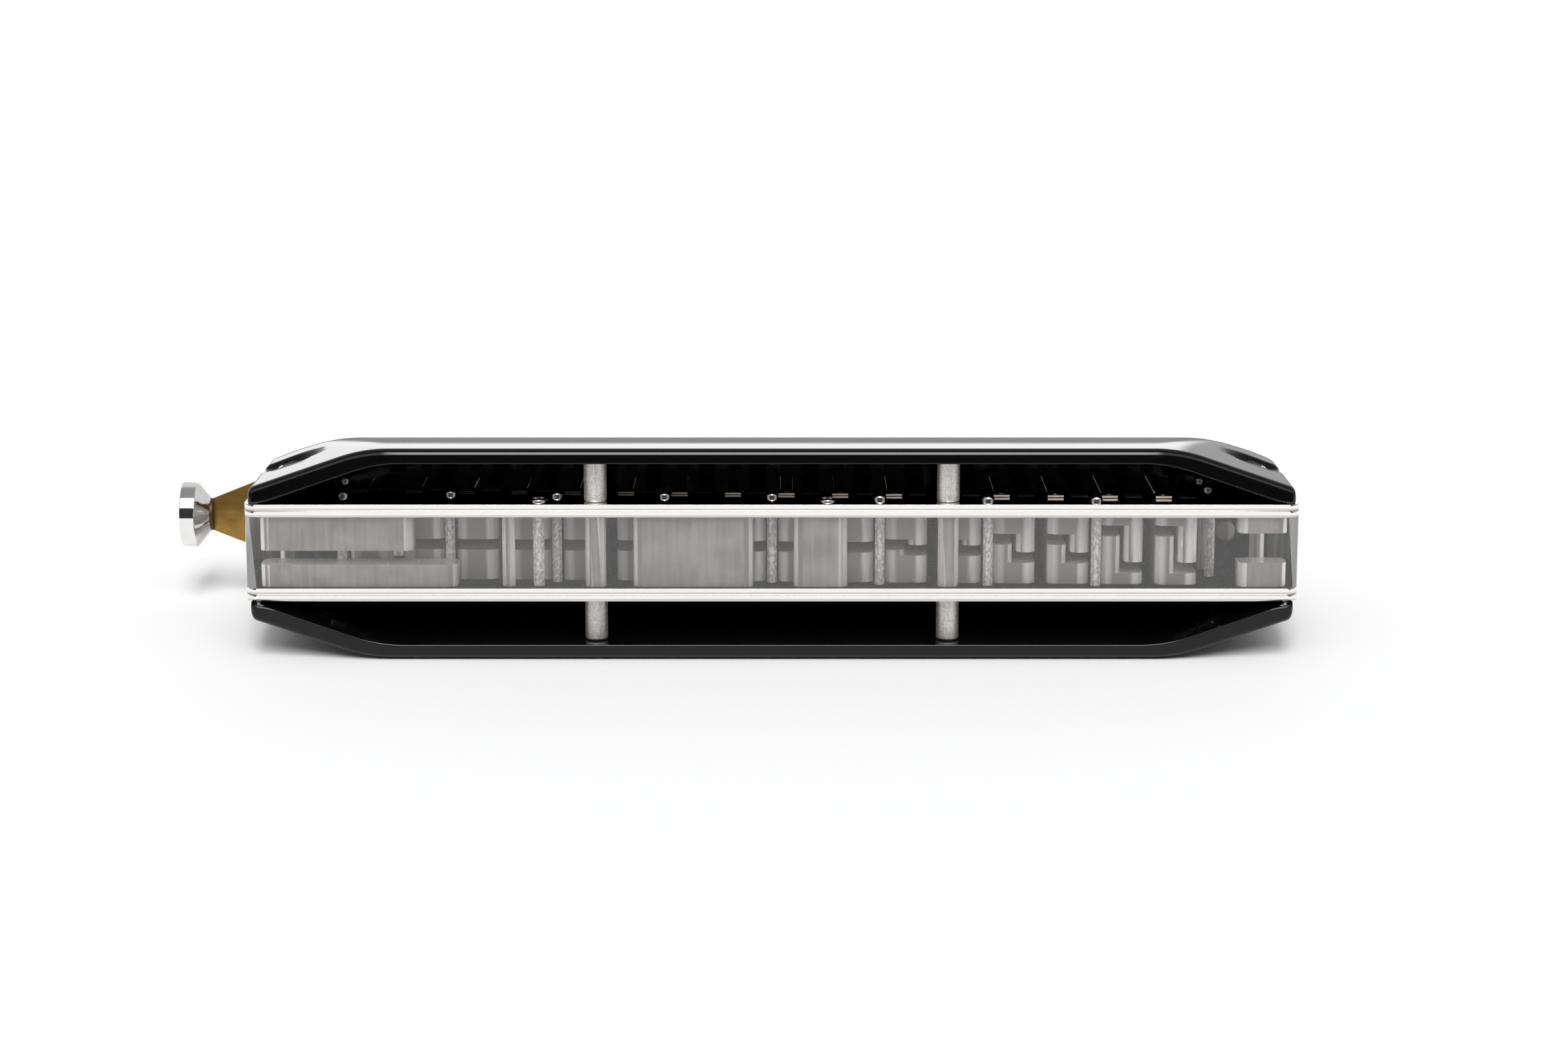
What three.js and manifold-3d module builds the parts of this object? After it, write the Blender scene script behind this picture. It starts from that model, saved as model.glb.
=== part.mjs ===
// A sixteen-hole slide chromatic harmonica, in millimetres.
// X runs along the instrument with the button at -X, the mouthpiece faces +Y and Z is up.
// The origin is the middle of the flat underside that the lower cover rests on.

import * as THREE from 'three';
import { mergeVertices } from 'three/addons/utils/BufferGeometryUtils.js';
import Module from 'manifold-3d';

const wasm = await Module();
wasm.setup();

// Holes: the pitch sets the chambers, reeds, windows and mouth holes.
const HOLE_COUNT = 16;
const HOLE_PITCH = 9.5;
const REED_OFFSET = 2.15;

// Stack of plates around the comb.
const END_BLOCK = 16.5;
const PLATE_DEPTH = 34;
const PLATE_THICKNESS = 1.2;
const PLATE_CORNER = 2;
const COMB_HEIGHT = 12.6;
const REAR_OFFSET = 19;

// Covers: the heights are measured from the reed plate that the cover stands on.
const COVER_HEIGHT = 9.9;
const COVER_REAR_OVERHANG = 1.5;
const COVER_FRONT_INSET = 2.6;
const COVER_END_INSET = 1;
const COVER_FALL = 5;
const COVER_END_HEIGHT = 3;
const COVER_END_SLOPE = 19;
const COVER_END_RADIUS = 0.7;
const COVER_HIP_RADIUS = 25;
const COVER_RIM_RADIUS = 0.9;
const COVER_NOSE_RADIUS = 6;
const COVER_FRONT_CORNER = 6;
const COVER_REAR_CORNER = 1;
const COVER_WALL = 1.6;
const RIM_WALL = 2.5;
const RIM_END_WALL = 1;
const RIM_DEPTH = 7.5;
const POCKET_RADIUS = 3.3;
const POCKET_FLOOR = 2.5;

// Reeds: each hole has a draw reed outside and a blow reed inside on both pairs of plates.
const REED_WIDTH = 2;
const REED_THICKNESS = 0.25;
const REED_LIFT = 0.15;
const REED_LONGEST = 19;
const REED_SHORTER_BY = 0.6;
const REED_PAD_WIDTH = 2.8;
const REED_PAD_LENGTH = 3.2;
const REED_PAD_HEIGHT = 0.55;
const REED_PAD_SINK = 0.1;
const REED_PAD_REAR = 5.2;
const REED_RECEDE = 0.47;
const SLOT_CLEARANCE = 0.1;

// Chambers: the wall between the upper and lower chamber is stepped at the low notes.
const CHAMBER_WIDTH = 7.4;
const CHAMBER_REAR_ROOM = 1.3;
const CHAMBER_CORNER = 1.6;
const CHAMBER_WALL = 1.9;
const CHAMBER_WEB = 0.7;
const CHAMBER_STEPS = [3.3, 3.3, 1.65, 1.65, 0.5, 0.5];
const CHAMBER_MOUTH = 7;

// Relief pockets milled into the comb behind the chambers.
const POCKET_REAR_WALL = 1.5;
const LEFT_POCKET_DEPTH = 7.3;
const LEFT_POCKET_END_WALL = 2.6;
const UPPER_LEFT_POCKET_LENGTH = 26.9;
const UPPER_LEFT_POCKET_HEIGHT = 6.1;
const LOWER_LEFT_POCKET_LENGTH = 34.6;
const LOWER_LEFT_POCKET_HEIGHT = 4;
const SPRING_CHANNEL_WIDTH = 5.9;
const THROUGH_POCKET_DEPTH = 3.5;
const THROUGH_POCKETS = [
  [-24.4, -3.25],
  [3.8, 13.3],
];
const RIGHT_POCKET_LENGTH = 8.6;
const RIGHT_POCKET_END_WALL = 2;
const RIGHT_POCKET_DEPTH = 6.5;
const UPPER_RIGHT_POCKET_HEIGHT = 3;
const LOWER_RIGHT_POCKET_HEIGHT = 4.3;

// Fasteners: the end ones are placed by their distance in from the end of the plates.
// Every hole is its shaft plus one clearance.
const HOLE_CLEARANCE = 0.15;
const PLATE_SCREW_RADIUS = 0.75;
const PLATE_SCREW_HEAD_RADIUS = 1.2;
const PLATE_SCREW_HEAD_HEIGHT = 1.2;
const PLATE_SCREW_NUB = 0.5;
const PLATE_SCREW_SPACING = 2 * HOLE_PITCH;
const PLATE_SCREW_DEPTHS = [7.9, 9.3, 7.6, 7.2, 6.9, 4.6, 3.4, 3.2];
const END_SCREW_INSET = 14.5;
const END_SCREW_DEPTH = 13.6;
const FRONT_SCREW_INSET = 15;
const FRONT_SCREW_DEPTH = 22;
const SHORT_SCREW_XS = [-41, 9.8];
const SHORT_SCREW_DEPTH = 3.4;
const SHORT_SCREW_RADIUS = 0.9;
const SHORT_SCREW_HEAD_RADIUS = 1.5;
const SHORT_SCREW_HEAD_HEIGHT = 0.5;
const SHORT_SCREW_TIP = 1;
const VENT_X = -46.3;
const VENT_RADIUS = 1.2;
const POST_X = 31;
const POST_DEPTH = 3.2;
const POST_RADIUS = 2;
const STUD_RADIUS = 1.2;
const STUD_REACH = 4;
const STUD_BORE_RADIUS = 1.85;
const BOLT_INSET = 5.8;
const BOLT_RADIUS = 1.25;
const BOLT_HEAD_RADIUS = 2.2;
const BOLT_HEAD_HEIGHT = 1.3;
const NUT_RADIUS = 2.3;
const NUT_HEIGHT = 1.4;
const NUT_SIDES = 6;
const MOUTHPIECE_SCREW_INSET = 10.5;
const MOUTHPIECE_SCREW_RADIUS = 1;
const MOUTHPIECE_SCREW_REACH = 7;
const MOUTHPIECE_SCREW_HEAD_RADIUS = 1.9;
const MOUTHPIECE_SCREW_HEAD_HEIGHT = 1.6;
const MOUTHPIECE_SCREW_SINK = 2.4;
const INSERT_RADIUS = 1.65;
const INSERT_LENGTH = 6.3;

// Slide assembly in front of the comb.
const BACK_PLATE_THICKNESS = 0.8;
const SLIDE_THICKNESS = 0.9;
const SLIDE_CLEARANCE = 0.15;
const SLIDE_HEIGHT = 14;
const SLIDE_RIGHT_INSET = 7.5;
const SLIDE_NECK_REACH = 11;
const SLIDE_NECK_HEIGHT = 6;
const SLIDE_TAPER_LENGTH = 10;
const SLIDE_TONGUE_LENGTH = 2.6;
const SLIDE_TONGUE_HEIGHT = 4.4;
const SLIDE_TRAVEL = HOLE_PITCH / 2;
const GUIDE_HEIGHT = 16.8;
const GUIDE_FRONT = 1;
const WINDOW_WIDTH = 4.2;
const WINDOW_HEIGHT = 3.4;
const WINDOW_ROW = 2.7;
const BUTTON_RADIUS = 6;
const BUTTON_DISC = 2.7;
const BUTTON_CONE = 2.4;
const BUTTON_COLLAR = 0.5;
const BUTTON_NECK_RADIUS = 3.1;
const BUTTON_EDGE = 0.4;
const BUTTON_DISH = 0.5;
const BUTTON_DISH_BEND = 0.35;

// Mouthpiece.
const MOUTHPIECE_DEPTH = 6.5;
const MOUTHPIECE_HEIGHT = 18.4;
const MOUTHPIECE_NOSE_RADIUS = 5.2;
const MOUTHPIECE_BACK_RADIUS = 0.6;
const MOUTHPIECE_END_RADIUS = 4;
const MOUTH_HOLE_WIDTH = 5.2;
const MOUTH_HOLE_HEIGHT = 9.2;

// Spring: a wire hooked on a pin in the upper left pocket, with its tip in the slide.
const WIRE_RADIUS = 0.4;
const SPRING_TIP_INSET = 3.2;
const SPRING_RUN_DEPTH = 5.5;
const SPRING_BEND_RADIUS = 3;
const SPRING_HOOK_GAP = 0.15;
const SPRING_HOOK_TURN = 240;
const SPRING_SIDES = 8;
const SPRING_PIN_INSET = 26.5;
const SPRING_PIN_RADIUS = 0.8;
const SPRING_PIN_HEIGHT = 3;
const SPRING_PIN_SEAT = 1.6;

// Shapes of screw heads and of slot ends, as shares of their height and half width.
const DOME_WALL = 0.45;
const DOME_BEND_RADIUS = 0.78;
const DOME_BEND_HEIGHT = 0.84;
const HEAD_WALL = 0.6;
const HEAD_TOP_RADIUS = 0.75;
const SLOT_ROUND = 0.95;

// Facets, the distance at which points are joined, and how far a cutter passes its face.
const SMALL_SIDES = 8;
const ROUND_SIDES = 16;
const BUTTON_SIDES = 32;
const CORNER_STEPS = 3;
const ARC_STEPS = 6;
const WELD = 1e-5;
const PAST = 1;

// Planes of the assembly.
const radians = THREE.MathUtils.degToRad;
const halfLength = (HOLE_COUNT * HOLE_PITCH) / 2 + END_BLOCK;
const rearY = -REAR_OFFSET;
const frontY = rearY + PLATE_DEPTH;
const coverRearY = rearY - COVER_REAR_OVERHANG;
const coverFrontY = frontY - COVER_FRONT_INSET;
const coverEndX = halfLength - COVER_END_INSET;
const coverFall = Math.tan(radians(COVER_FALL));
const lowerOuterZ = COVER_HEIGHT + coverFall * coverRearY;
const lowerInnerZ = lowerOuterZ + PLATE_THICKNESS;
const combBottomZ = lowerInnerZ + PLATE_THICKNESS;
const combTopZ = combBottomZ + COMB_HEIGHT;
const upperOuterZ = combTopZ + PLATE_THICKNESS;
const upperTopZ = upperOuterZ + PLATE_THICKNESS;
const middleZ = combBottomZ + COMB_HEIGHT / 2;
const slideRearY = frontY + BACK_PLATE_THICKNESS + SLIDE_CLEARANCE;
const slideFrontY = slideRearY + SLIDE_THICKNESS;
const slideMiddleY = slideRearY + SLIDE_THICKNESS / 2;
const guideRearY = frontY + BACK_PLATE_THICKNESS;
const guideFloorY = slideFrontY + SLIDE_CLEARANCE;
const mouthpieceRearY = guideFloorY + GUIDE_FRONT;
const mouthpieceFrontY = mouthpieceRearY + MOUTHPIECE_DEPTH;
const boltX = halfLength - BOLT_INSET;
const boltY = rearY + PLATE_DEPTH / 2;
const mouthScrewX = halfLength - MOUTHPIECE_SCREW_INSET;
const postY = rearY + POST_DEPTH;
const rimHeight = COVER_HEIGHT - RIM_WALL;
const springTipX = -halfLength + SPRING_TIP_INSET;
const springPinX = -halfLength + SPRING_PIN_INSET;
const upperLeftFloorZ = combTopZ - UPPER_LEFT_POCKET_HEIGHT;
const springZ = upperLeftFloorZ + WIRE_RADIUS * Math.cos(Math.PI / SPRING_SIDES);
const holeXs = Array.from({ length: HOLE_COUNT }, (_, i) => ((HOLE_COUNT - 1) / 2 - i) * HOLE_PITCH);

// Turns a list of [u, v, corner radius] into outline points with round corners.
function rounded(corners, steps) {
  const outline = [];
  corners.forEach(([u, v, radius = 0], i) => {
    const corner = new THREE.Vector2(u, v);
    if (radius === 0) {
      outline.push(corner);
      return;
    }
    const before = corners[(i + corners.length - 1) % corners.length];
    const after = corners[(i + 1) % corners.length];
    const back = new THREE.Vector2(before[0], before[1]).sub(corner).normalize();
    const ahead = new THREE.Vector2(after[0], after[1]).sub(corner).normalize();
    const half = Math.acos(THREE.MathUtils.clamp(back.dot(ahead), -1, 1)) / 2;
    const centre = back.clone().add(ahead).normalize().multiplyScalar(radius / Math.sin(half)).add(corner);
    const from = back.clone().multiplyScalar(radius / Math.tan(half)).add(corner).sub(centre);
    const to = ahead.clone().multiplyScalar(radius / Math.tan(half)).add(corner).sub(centre);
    const turn = Math.atan2(from.cross(to), from.dot(to));
    for (let step = 0; step <= steps; step += 1) {
      const point = from.clone().rotateAround(new THREE.Vector2(), (turn * step) / steps);
      outline.push(point.add(centre));
    }
  });
  return outline;
}

function rectangle(left, right, low, high, radius = 0) {
  const corners = [[left, low, radius], [right, low, radius], [right, high, radius], [left, high, radius]];
  return rounded(corners, CORNER_STEPS);
}

function circle(u, v, radius, sides) {
  const start = Math.PI / sides;
  return Array.from({ length: sides }, (_, i) => {
    const angle = start + (2 * Math.PI * i) / sides;
    return new THREE.Vector2(u + radius * Math.cos(angle), v + radius * Math.sin(angle));
  });
}

// Extrudes an outline along an axis between two planes, which keep their exact values.
// The outline's own axes are Y and Z for X, X and Z for Y, and X and Y for Z.
function prism(outline, axis, from, to) {
  const shape = new THREE.Shape(outline);
  const geometry = new THREE.ExtrudeGeometry(shape, { depth: 1, bevelEnabled: false });
  const position = geometry.getAttribute('position');
  for (let i = 0; i < position.count; i += 1) {
    const u = position.getX(i);
    const v = position.getY(i);
    const along = position.getZ(i) > 0 ? to : from;
    if (axis === 'x') {
      position.setXYZ(i, along, u, v);
    } else if (axis === 'y') {
      position.setXYZ(i, u, to + from - along, v);
    } else {
      position.setXYZ(i, u, v, along);
    }
  }
  return solid(geometry);
}

function solid(geometry) {
  const bare = new THREE.BufferGeometry();
  bare.setAttribute('position', geometry.getAttribute('position'));
  bare.setIndex(geometry.getIndex());
  const merged = mergeVertices(bare, WELD);
  return new wasm.Manifold(new wasm.Mesh({
    numProp: 3,
    vertProperties: new Float32Array(merged.getAttribute('position').array),
    triVerts: new Uint32Array(merged.getIndex().array),
  }));
}

function cut(body, tools) {
  return tools.reduce((rest, tool) => rest.subtract(tool), body);
}

// A plate between two planes with holes right through it.
function pierced(outline, axis, from, to, holes) {
  const tools = holes.map((hole) => prism(hole, axis, from - PAST, to + PAST));
  return cut(prism(outline, axis, from, to), tools);
}

function join(pieces) {
  return pieces.reduce((whole, piece) => whole.add(piece));
}

function geometryOf(body) {
  const mesh = body.getMesh();
  const geometry = new THREE.BufferGeometry();
  geometry.setAttribute('position', new THREE.BufferAttribute(new Float32Array(mesh.vertProperties), 3));
  geometry.setIndex(new THREE.BufferAttribute(new Uint32Array(mesh.triVerts), 1));
  return geometry;
}

// A turned piece: the profile lists [radius, place along the axis] from axis to axis.
function turned(profile, axis, sides, u, v) {
  const points = profile.map(([radius, along]) => new THREE.Vector2(radius, along));
  const geometry = new THREE.LatheGeometry(points, sides, Math.PI / sides);
  const position = geometry.getAttribute('position');
  for (let i = 0; i < position.count; i += 1) {
    const first = position.getX(i);
    const second = position.getZ(i);
    const along = position.getY(i);
    if (axis === 'x') {
      position.setXYZ(i, along, u + second, v + first);
    } else if (axis === 'y') {
      position.setXYZ(i, u + first, along, v + second);
    } else {
      position.setXYZ(i, u + first, v - second, along);
    }
  }
  return solid(geometry);
}

const finishes = {
  acrylic: { color: 0xcfd2d2, roughness: 0.08, metalness: 0, transparent: true, opacity: 0.45 },
  blackCover: { color: 0x0c0c0d, roughness: 0.3, metalness: 0.2 },
  silver: { color: 0xd9d8d4, roughness: 0.14, metalness: 1 },
  brushed: { color: 0xa9a6a1, roughness: 0.42, metalness: 1 },
  steel: { color: 0xc4c4c4, roughness: 0.18, metalness: 1 },
  brass: { color: 0x8d7646, roughness: 0.38, metalness: 1 },
};

const harmonica = new THREE.Group();
harmonica.name = 'harmonica';

function addPiece(name, body, finish) {
  const mesh = new THREE.Mesh(geometryOf(body), new THREE.MeshStandardMaterial(finishes[finish]));
  mesh.name = name;
  harmonica.add(mesh);
}

// Places of the screws that go through the whole stack of plates.
const plateScrews = PLATE_SCREW_DEPTHS.map((depth, i) => ({
  name: `plate_screw_${i + 1}`,
  x: (i - PLATE_SCREW_DEPTHS.length / 2) * PLATE_SCREW_SPACING,
  y: rearY + depth,
}));
plateScrews.push({
  name: `plate_screw_${plateScrews.length + 1}`,
  x: halfLength - END_SCREW_INSET,
  y: rearY + END_SCREW_DEPTH,
});
const sides = [
  { name: 'left', sign: -1 },
  { name: 'right', sign: 1 },
];
sides.forEach(({ name, sign }) => plateScrews.push({
  name: `front_plate_screw_${name}`,
  x: sign * (halfLength - FRONT_SCREW_INSET),
  y: rearY + FRONT_SCREW_DEPTH,
}));
const shortScrewY = rearY + SHORT_SCREW_DEPTH;
const screwBore = PLATE_SCREW_RADIUS + HOLE_CLEARANCE;
const shortBore = SHORT_SCREW_RADIUS + HOLE_CLEARANCE;
const boltBore = BOLT_RADIUS + HOLE_CLEARANCE;
const studBore = STUD_RADIUS + HOLE_CLEARANCE;

// Comb: a clear block with open chambers from the front, relief pockets and screw bores.
function chamberPlan(left, right, rear, front) {
  const rearCorners = [[left, rear, CHAMBER_CORNER], [right, rear, CHAMBER_CORNER]];
  return rounded([...rearCorners, [right, front], [left, front]], CORNER_STEPS);
}

function chamberTools(x, index) {
  const step = CHAMBER_STEPS[index] ?? 0;
  const rear = rearY + REED_PAD_REAR + index * REED_RECEDE - CHAMBER_REAR_ROOM;
  const stepEnd = frontY - CHAMBER_MOUTH;
  const left = x - CHAMBER_WIDTH / 2;
  const right = x + CHAMBER_WIDTH / 2;
  const over = combTopZ + PAST;
  const under = combBottomZ - PAST;
  const roof = middleZ + step + CHAMBER_WALL / 2;
  const floor = middleZ - step - CHAMBER_WALL / 2;
  const whole = chamberPlan(left, right, rear, frontY + PAST);
  const tools = [prism(whole, 'z', roof, over), prism(whole, 'z', under, floor)];
  if (step > 0) {
    const deepEnd = stepEnd - CHAMBER_WALL;
    const deepRight = chamberPlan(x + CHAMBER_WEB / 2, right, rear, deepEnd);
    const deepLeft = chamberPlan(left, x - CHAMBER_WEB / 2, rear, deepEnd);
    const mouth = rectangle(left, right, stepEnd, frontY + PAST);
    tools.push(prism(deepRight, 'z', floor + CHAMBER_WALL, over));
    tools.push(prism(deepLeft, 'z', under, roof - CHAMBER_WALL));
    tools.push(prism(mouth, 'z', middleZ + CHAMBER_WALL / 2, over));
    tools.push(prism(mouth, 'z', under, middleZ - CHAMBER_WALL / 2));
  }
  return tools;
}

const pocketRearY = rearY + POCKET_REAR_WALL;
const leftPocketX = -halfLength + LEFT_POCKET_END_WALL;
const rightPocketX = halfLength - RIGHT_POCKET_END_WALL;
const leftPocketFrontY = pocketRearY + LEFT_POCKET_DEPTH;
const springPinY = rearY + SPRING_RUN_DEPTH + WIRE_RADIUS + SPRING_HOOK_GAP + SPRING_PIN_RADIUS;
const rightPocket = rectangle(
  rightPocketX - RIGHT_POCKET_LENGTH,
  rightPocketX,
  pocketRearY,
  pocketRearY + RIGHT_POCKET_DEPTH,
  CHAMBER_CORNER,
);

function leftPocket(length) {
  return rectangle(leftPocketX, leftPocketX + length, pocketRearY, leftPocketFrontY, CHAMBER_CORNER);
}

const pocketTools = [
  prism(leftPocket(UPPER_LEFT_POCKET_LENGTH), 'z', upperLeftFloorZ, combTopZ + PAST),
  prism(
    rectangle(leftPocketX, leftPocketX + SPRING_CHANNEL_WIDTH, pocketRearY + CHAMBER_CORNER, frontY + PAST),
    'z', upperLeftFloorZ, combTopZ + PAST,
  ),
  prism(
    leftPocket(LOWER_LEFT_POCKET_LENGTH),
    'z', combBottomZ - PAST, combBottomZ + LOWER_LEFT_POCKET_HEIGHT,
  ),
  prism(rightPocket, 'z', combTopZ - UPPER_RIGHT_POCKET_HEIGHT, combTopZ + PAST),
  prism(rightPocket, 'z', combBottomZ - PAST, combBottomZ + LOWER_RIGHT_POCKET_HEIGHT),
  ...THROUGH_POCKETS.map(([left, right]) => prism(
    rectangle(left, right, pocketRearY, pocketRearY + THROUGH_POCKET_DEPTH, CHAMBER_CORNER),
    'z', combBottomZ - PAST, combTopZ + PAST,
  )),
];

function throughBore(x, y, radius) {
  return prism(circle(x, y, radius, SMALL_SIDES), 'z', combBottomZ - PAST, combTopZ + PAST);
}

const combBores = [
  ...plateScrews.map(({ x, y }) => throughBore(x, y, screwBore)),
  ...sides.map(({ sign }) => throughBore(sign * boltX, boltY, boltBore)),
  ...sides.map(({ sign }) => prism(
    circle(sign * POST_X, postY, STUD_BORE_RADIUS, ROUND_SIDES),
    'z', combBottomZ - PAST, combTopZ + PAST,
  )),
  ...SHORT_SCREW_XS.map((x) => throughBore(x, shortScrewY, shortBore)),
  throughBore(VENT_X, shortScrewY, VENT_RADIUS),
  prism(
    circle(springPinX, springPinY, SPRING_PIN_RADIUS + HOLE_CLEARANCE, SMALL_SIDES),
    'z', upperLeftFloorZ - SPRING_PIN_SEAT, combTopZ,
  ),
  ...sides.map(({ sign }) => prism(
    circle(sign * mouthScrewX, middleZ, INSERT_RADIUS + HOLE_CLEARANCE, SMALL_SIDES),
    'y', frontY - MOUTHPIECE_SCREW_REACH - PAST, frontY + PAST,
  )),
];

const plateOutline = rectangle(-halfLength, halfLength, rearY, frontY, PLATE_CORNER);
const combBlock = prism(plateOutline, 'z', combBottomZ, combTopZ);
const chambers = holeXs.flatMap(chamberTools);
addPiece('comb', cut(combBlock, [...chambers, ...pocketTools, ...combBores]), 'acrylic');

// Reed plates: a pair on each face of the comb, slotted alike for both reeds of each hole.
function reedLength(index) {
  return REED_LONGEST - index * REED_SHORTER_BY;
}

function reedFootY(index) {
  return rearY + REED_PAD_REAR + index * REED_RECEDE + REED_PAD_LENGTH;
}

function slotOutline(x, index) {
  const halfWidth = REED_WIDTH / 2 + SLOT_CLEARANCE;
  const foot = reedFootY(index);
  return rectangle(x - halfWidth, x + halfWidth, foot, foot + reedLength(index) + SLOT_CLEARANCE);
}

// A reed stands on the plane z and points away from its plate: side 1 is up, -1 is down.
function reed(x, index, z, side) {
  const foot = reedFootY(index);
  const pad = [z - side * REED_PAD_SINK, z + side * REED_PAD_HEIGHT].sort((a, b) => a - b);
  const tongue = [z + side * REED_LIFT, z + side * (REED_LIFT + REED_THICKNESS)].sort((a, b) => a - b);
  const padOutline = rectangle(
    x - REED_PAD_WIDTH / 2, x + REED_PAD_WIDTH / 2, foot - REED_PAD_LENGTH, foot,
  );
  const tongueOutline = rectangle(
    x - REED_WIDTH / 2, x + REED_WIDTH / 2, foot - REED_PAD_LENGTH / 2, foot + reedLength(index),
  );
  return prism(padOutline, 'z', ...pad).add(prism(tongueOutline, 'z', ...tongue));
}

const plateHoles = [
  ...holeXs.flatMap((x, i) => [slotOutline(x - REED_OFFSET, i), slotOutline(x + REED_OFFSET, i)]),
  ...plateScrews.map(({ x, y }) => circle(x, y, screwBore, SMALL_SIDES)),
  ...SHORT_SCREW_XS.map((x) => circle(x, shortScrewY, shortBore, SMALL_SIDES)),
  ...sides.map(({ sign }) => circle(sign * POST_X, postY, studBore, SMALL_SIDES)),
  ...sides.map(({ sign }) => circle(sign * boltX, boltY, boltBore, SMALL_SIDES)),
];

// Reeds sit left of the hole centre with hand -1 and right of it with hand 1.
function reedPlate(bottom, reedPlane, reedSide, hand) {
  const plate = pierced(plateOutline, 'z', bottom, bottom + PLATE_THICKNESS, plateHoles);
  const reeds = holeXs.map((x, i) => reed(x + hand * REED_OFFSET, i, reedPlane, reedSide));
  return join([plate, ...reeds]);
}

addPiece('upper_outer_reed_plate', reedPlate(upperOuterZ, upperTopZ, 1, -1), 'silver');
addPiece('upper_inner_reed_plate', reedPlate(combTopZ, combTopZ, -1, 1), 'silver');
addPiece('lower_inner_reed_plate', reedPlate(lowerInnerZ, combBottomZ, 1, -1), 'silver');
addPiece('lower_outer_reed_plate', reedPlate(lowerOuterZ, lowerOuterZ, -1, 1), 'silver');

// Covers: built standing on height 0, as three crossed outlines less the hollow inside.
const endRise = Math.tan(radians(COVER_END_SLOPE));

function coverEnds(endX, endHeight, topHeight, endRadius, hipRadius) {
  const hipX = endX - (topHeight - endHeight) / endRise;
  return rounded([
    [-endX, -PAST],
    [endX, -PAST],
    [endX, endHeight, endRadius],
    [hipX, topHeight, hipRadius],
    [-hipX, topHeight, hipRadius],
    [-endX, endHeight, endRadius],
  ], ARC_STEPS);
}

function coverSide(backY, noseY, wall, rimRadius, noseRadius) {
  const wallHeight = wall / Math.cos(radians(COVER_FALL));
  const heightAt = (y) => COVER_HEIGHT - wallHeight - coverFall * (y - coverRearY);
  return rounded([
    [backY, -PAST],
    [noseY, -PAST],
    [noseY, heightAt(noseY), noseRadius],
    [backY, heightAt(backY), rimRadius],
  ], ARC_STEPS);
}

function coverPlan(endX, noseY, rearCorner, frontCorner) {
  return rounded([
    [-endX, coverRearY, rearCorner],
    [endX, coverRearY, rearCorner],
    [endX, noseY, frontCorner],
    [-endX, noseY, frontCorner],
  ], ARC_STEPS);
}

// Pocket outline around a bolt, open toward the end of the cover.
function boltPocket(sign, radius) {
  const openX = sign * (coverEndX + PAST);
  const closedX = sign * (boltX - radius);
  return rounded([
    [openX, boltY - radius],
    [openX, boltY + radius],
    [closedX, boltY + radius, radius * SLOT_ROUND],
    [closedX, boltY - radius, radius * SLOT_ROUND],
  ], ARC_STEPS);
}

const hollowEndX = coverEndX - COVER_WALL;
const slopedWall = COVER_WALL / Math.cos(radians(COVER_END_SLOPE));
const hollowEndHeight = COVER_END_HEIGHT + COVER_WALL * endRise - slopedWall;
const rimEndX = coverEndX - RIM_END_WALL;
const rimFrontY = coverRearY + RIM_DEPTH;
const coverBlock = prism(
  coverEnds(coverEndX, COVER_END_HEIGHT, COVER_HEIGHT, COVER_END_RADIUS, COVER_HIP_RADIUS),
  'y', coverRearY - PAST, coverFrontY + PAST,
).intersect(prism(
  coverSide(coverRearY, coverFrontY, 0, COVER_RIM_RADIUS, COVER_NOSE_RADIUS),
  'x', -coverEndX - PAST, coverEndX + PAST,
)).intersect(prism(
  coverPlan(coverEndX, coverFrontY, COVER_REAR_CORNER, COVER_FRONT_CORNER),
  'z', 0, COVER_HEIGHT + PAST,
));
const hollow = prism(
  coverEnds(hollowEndX, hollowEndHeight, COVER_HEIGHT - COVER_WALL, 0, COVER_HIP_RADIUS - COVER_WALL),
  'y', rimFrontY, coverFrontY,
).intersect(prism(
  coverSide(coverRearY, coverFrontY - COVER_WALL, COVER_WALL, 0, COVER_NOSE_RADIUS - COVER_WALL),
  'x', -coverEndX, coverEndX,
)).intersect(prism(
  coverPlan(hollowEndX, coverFrontY - COVER_WALL, 0, COVER_FRONT_CORNER - COVER_WALL),
  'z', -PAST, COVER_HEIGHT,
));
const bosses = sides.map(({ sign }) => prism(
  boltPocket(sign, POCKET_RADIUS + COVER_WALL), 'z', -2 * PAST, COVER_HEIGHT,
));
const rimOpening = prism(
  coverEnds(rimEndX, 0, rimHeight, 0, COVER_HIP_RADIUS - RIM_WALL),
  'y', coverRearY - PAST, rimFrontY + PAST,
);
const boltPockets = sides.map(({ sign }) => prism(
  boltPocket(sign, POCKET_RADIUS), 'z', POCKET_FLOOR, COVER_HEIGHT + PAST,
));
const boltBores = sides.map(({ sign }) => prism(
  circle(sign * boltX, boltY, boltBore, SMALL_SIDES), 'z', -PAST, COVER_HEIGHT,
));
const cover = cut(coverBlock, [cut(hollow, bosses), rimOpening, ...boltPockets, ...boltBores]);

// Stands a piece built on height 0 on the plane z: side 1 is upright, -1 is upside down.
function standOn(body, z, side) {
  const geometry = geometryOf(body);
  const position = geometry.getAttribute('position');
  for (let i = 0; i < position.count; i += 1) {
    position.setZ(i, z + side * position.getZ(i));
  }
  if (side < 0) {
    const index = geometry.getIndex();
    for (let i = 0; i < index.count; i += 3) {
      const second = index.getX(i + 1);
      index.setX(i + 1, index.getX(i + 2));
      index.setX(i + 2, second);
    }
  }
  return solid(geometry);
}

const faces = [
  { name: 'upper', z: upperTopZ, side: 1 },
  { name: 'lower', z: lowerOuterZ, side: -1 },
];
faces.forEach(({ name, z, side }) => addPiece(`${name}_cover`, standOn(cover, z, side), 'blackCover'));

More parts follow.
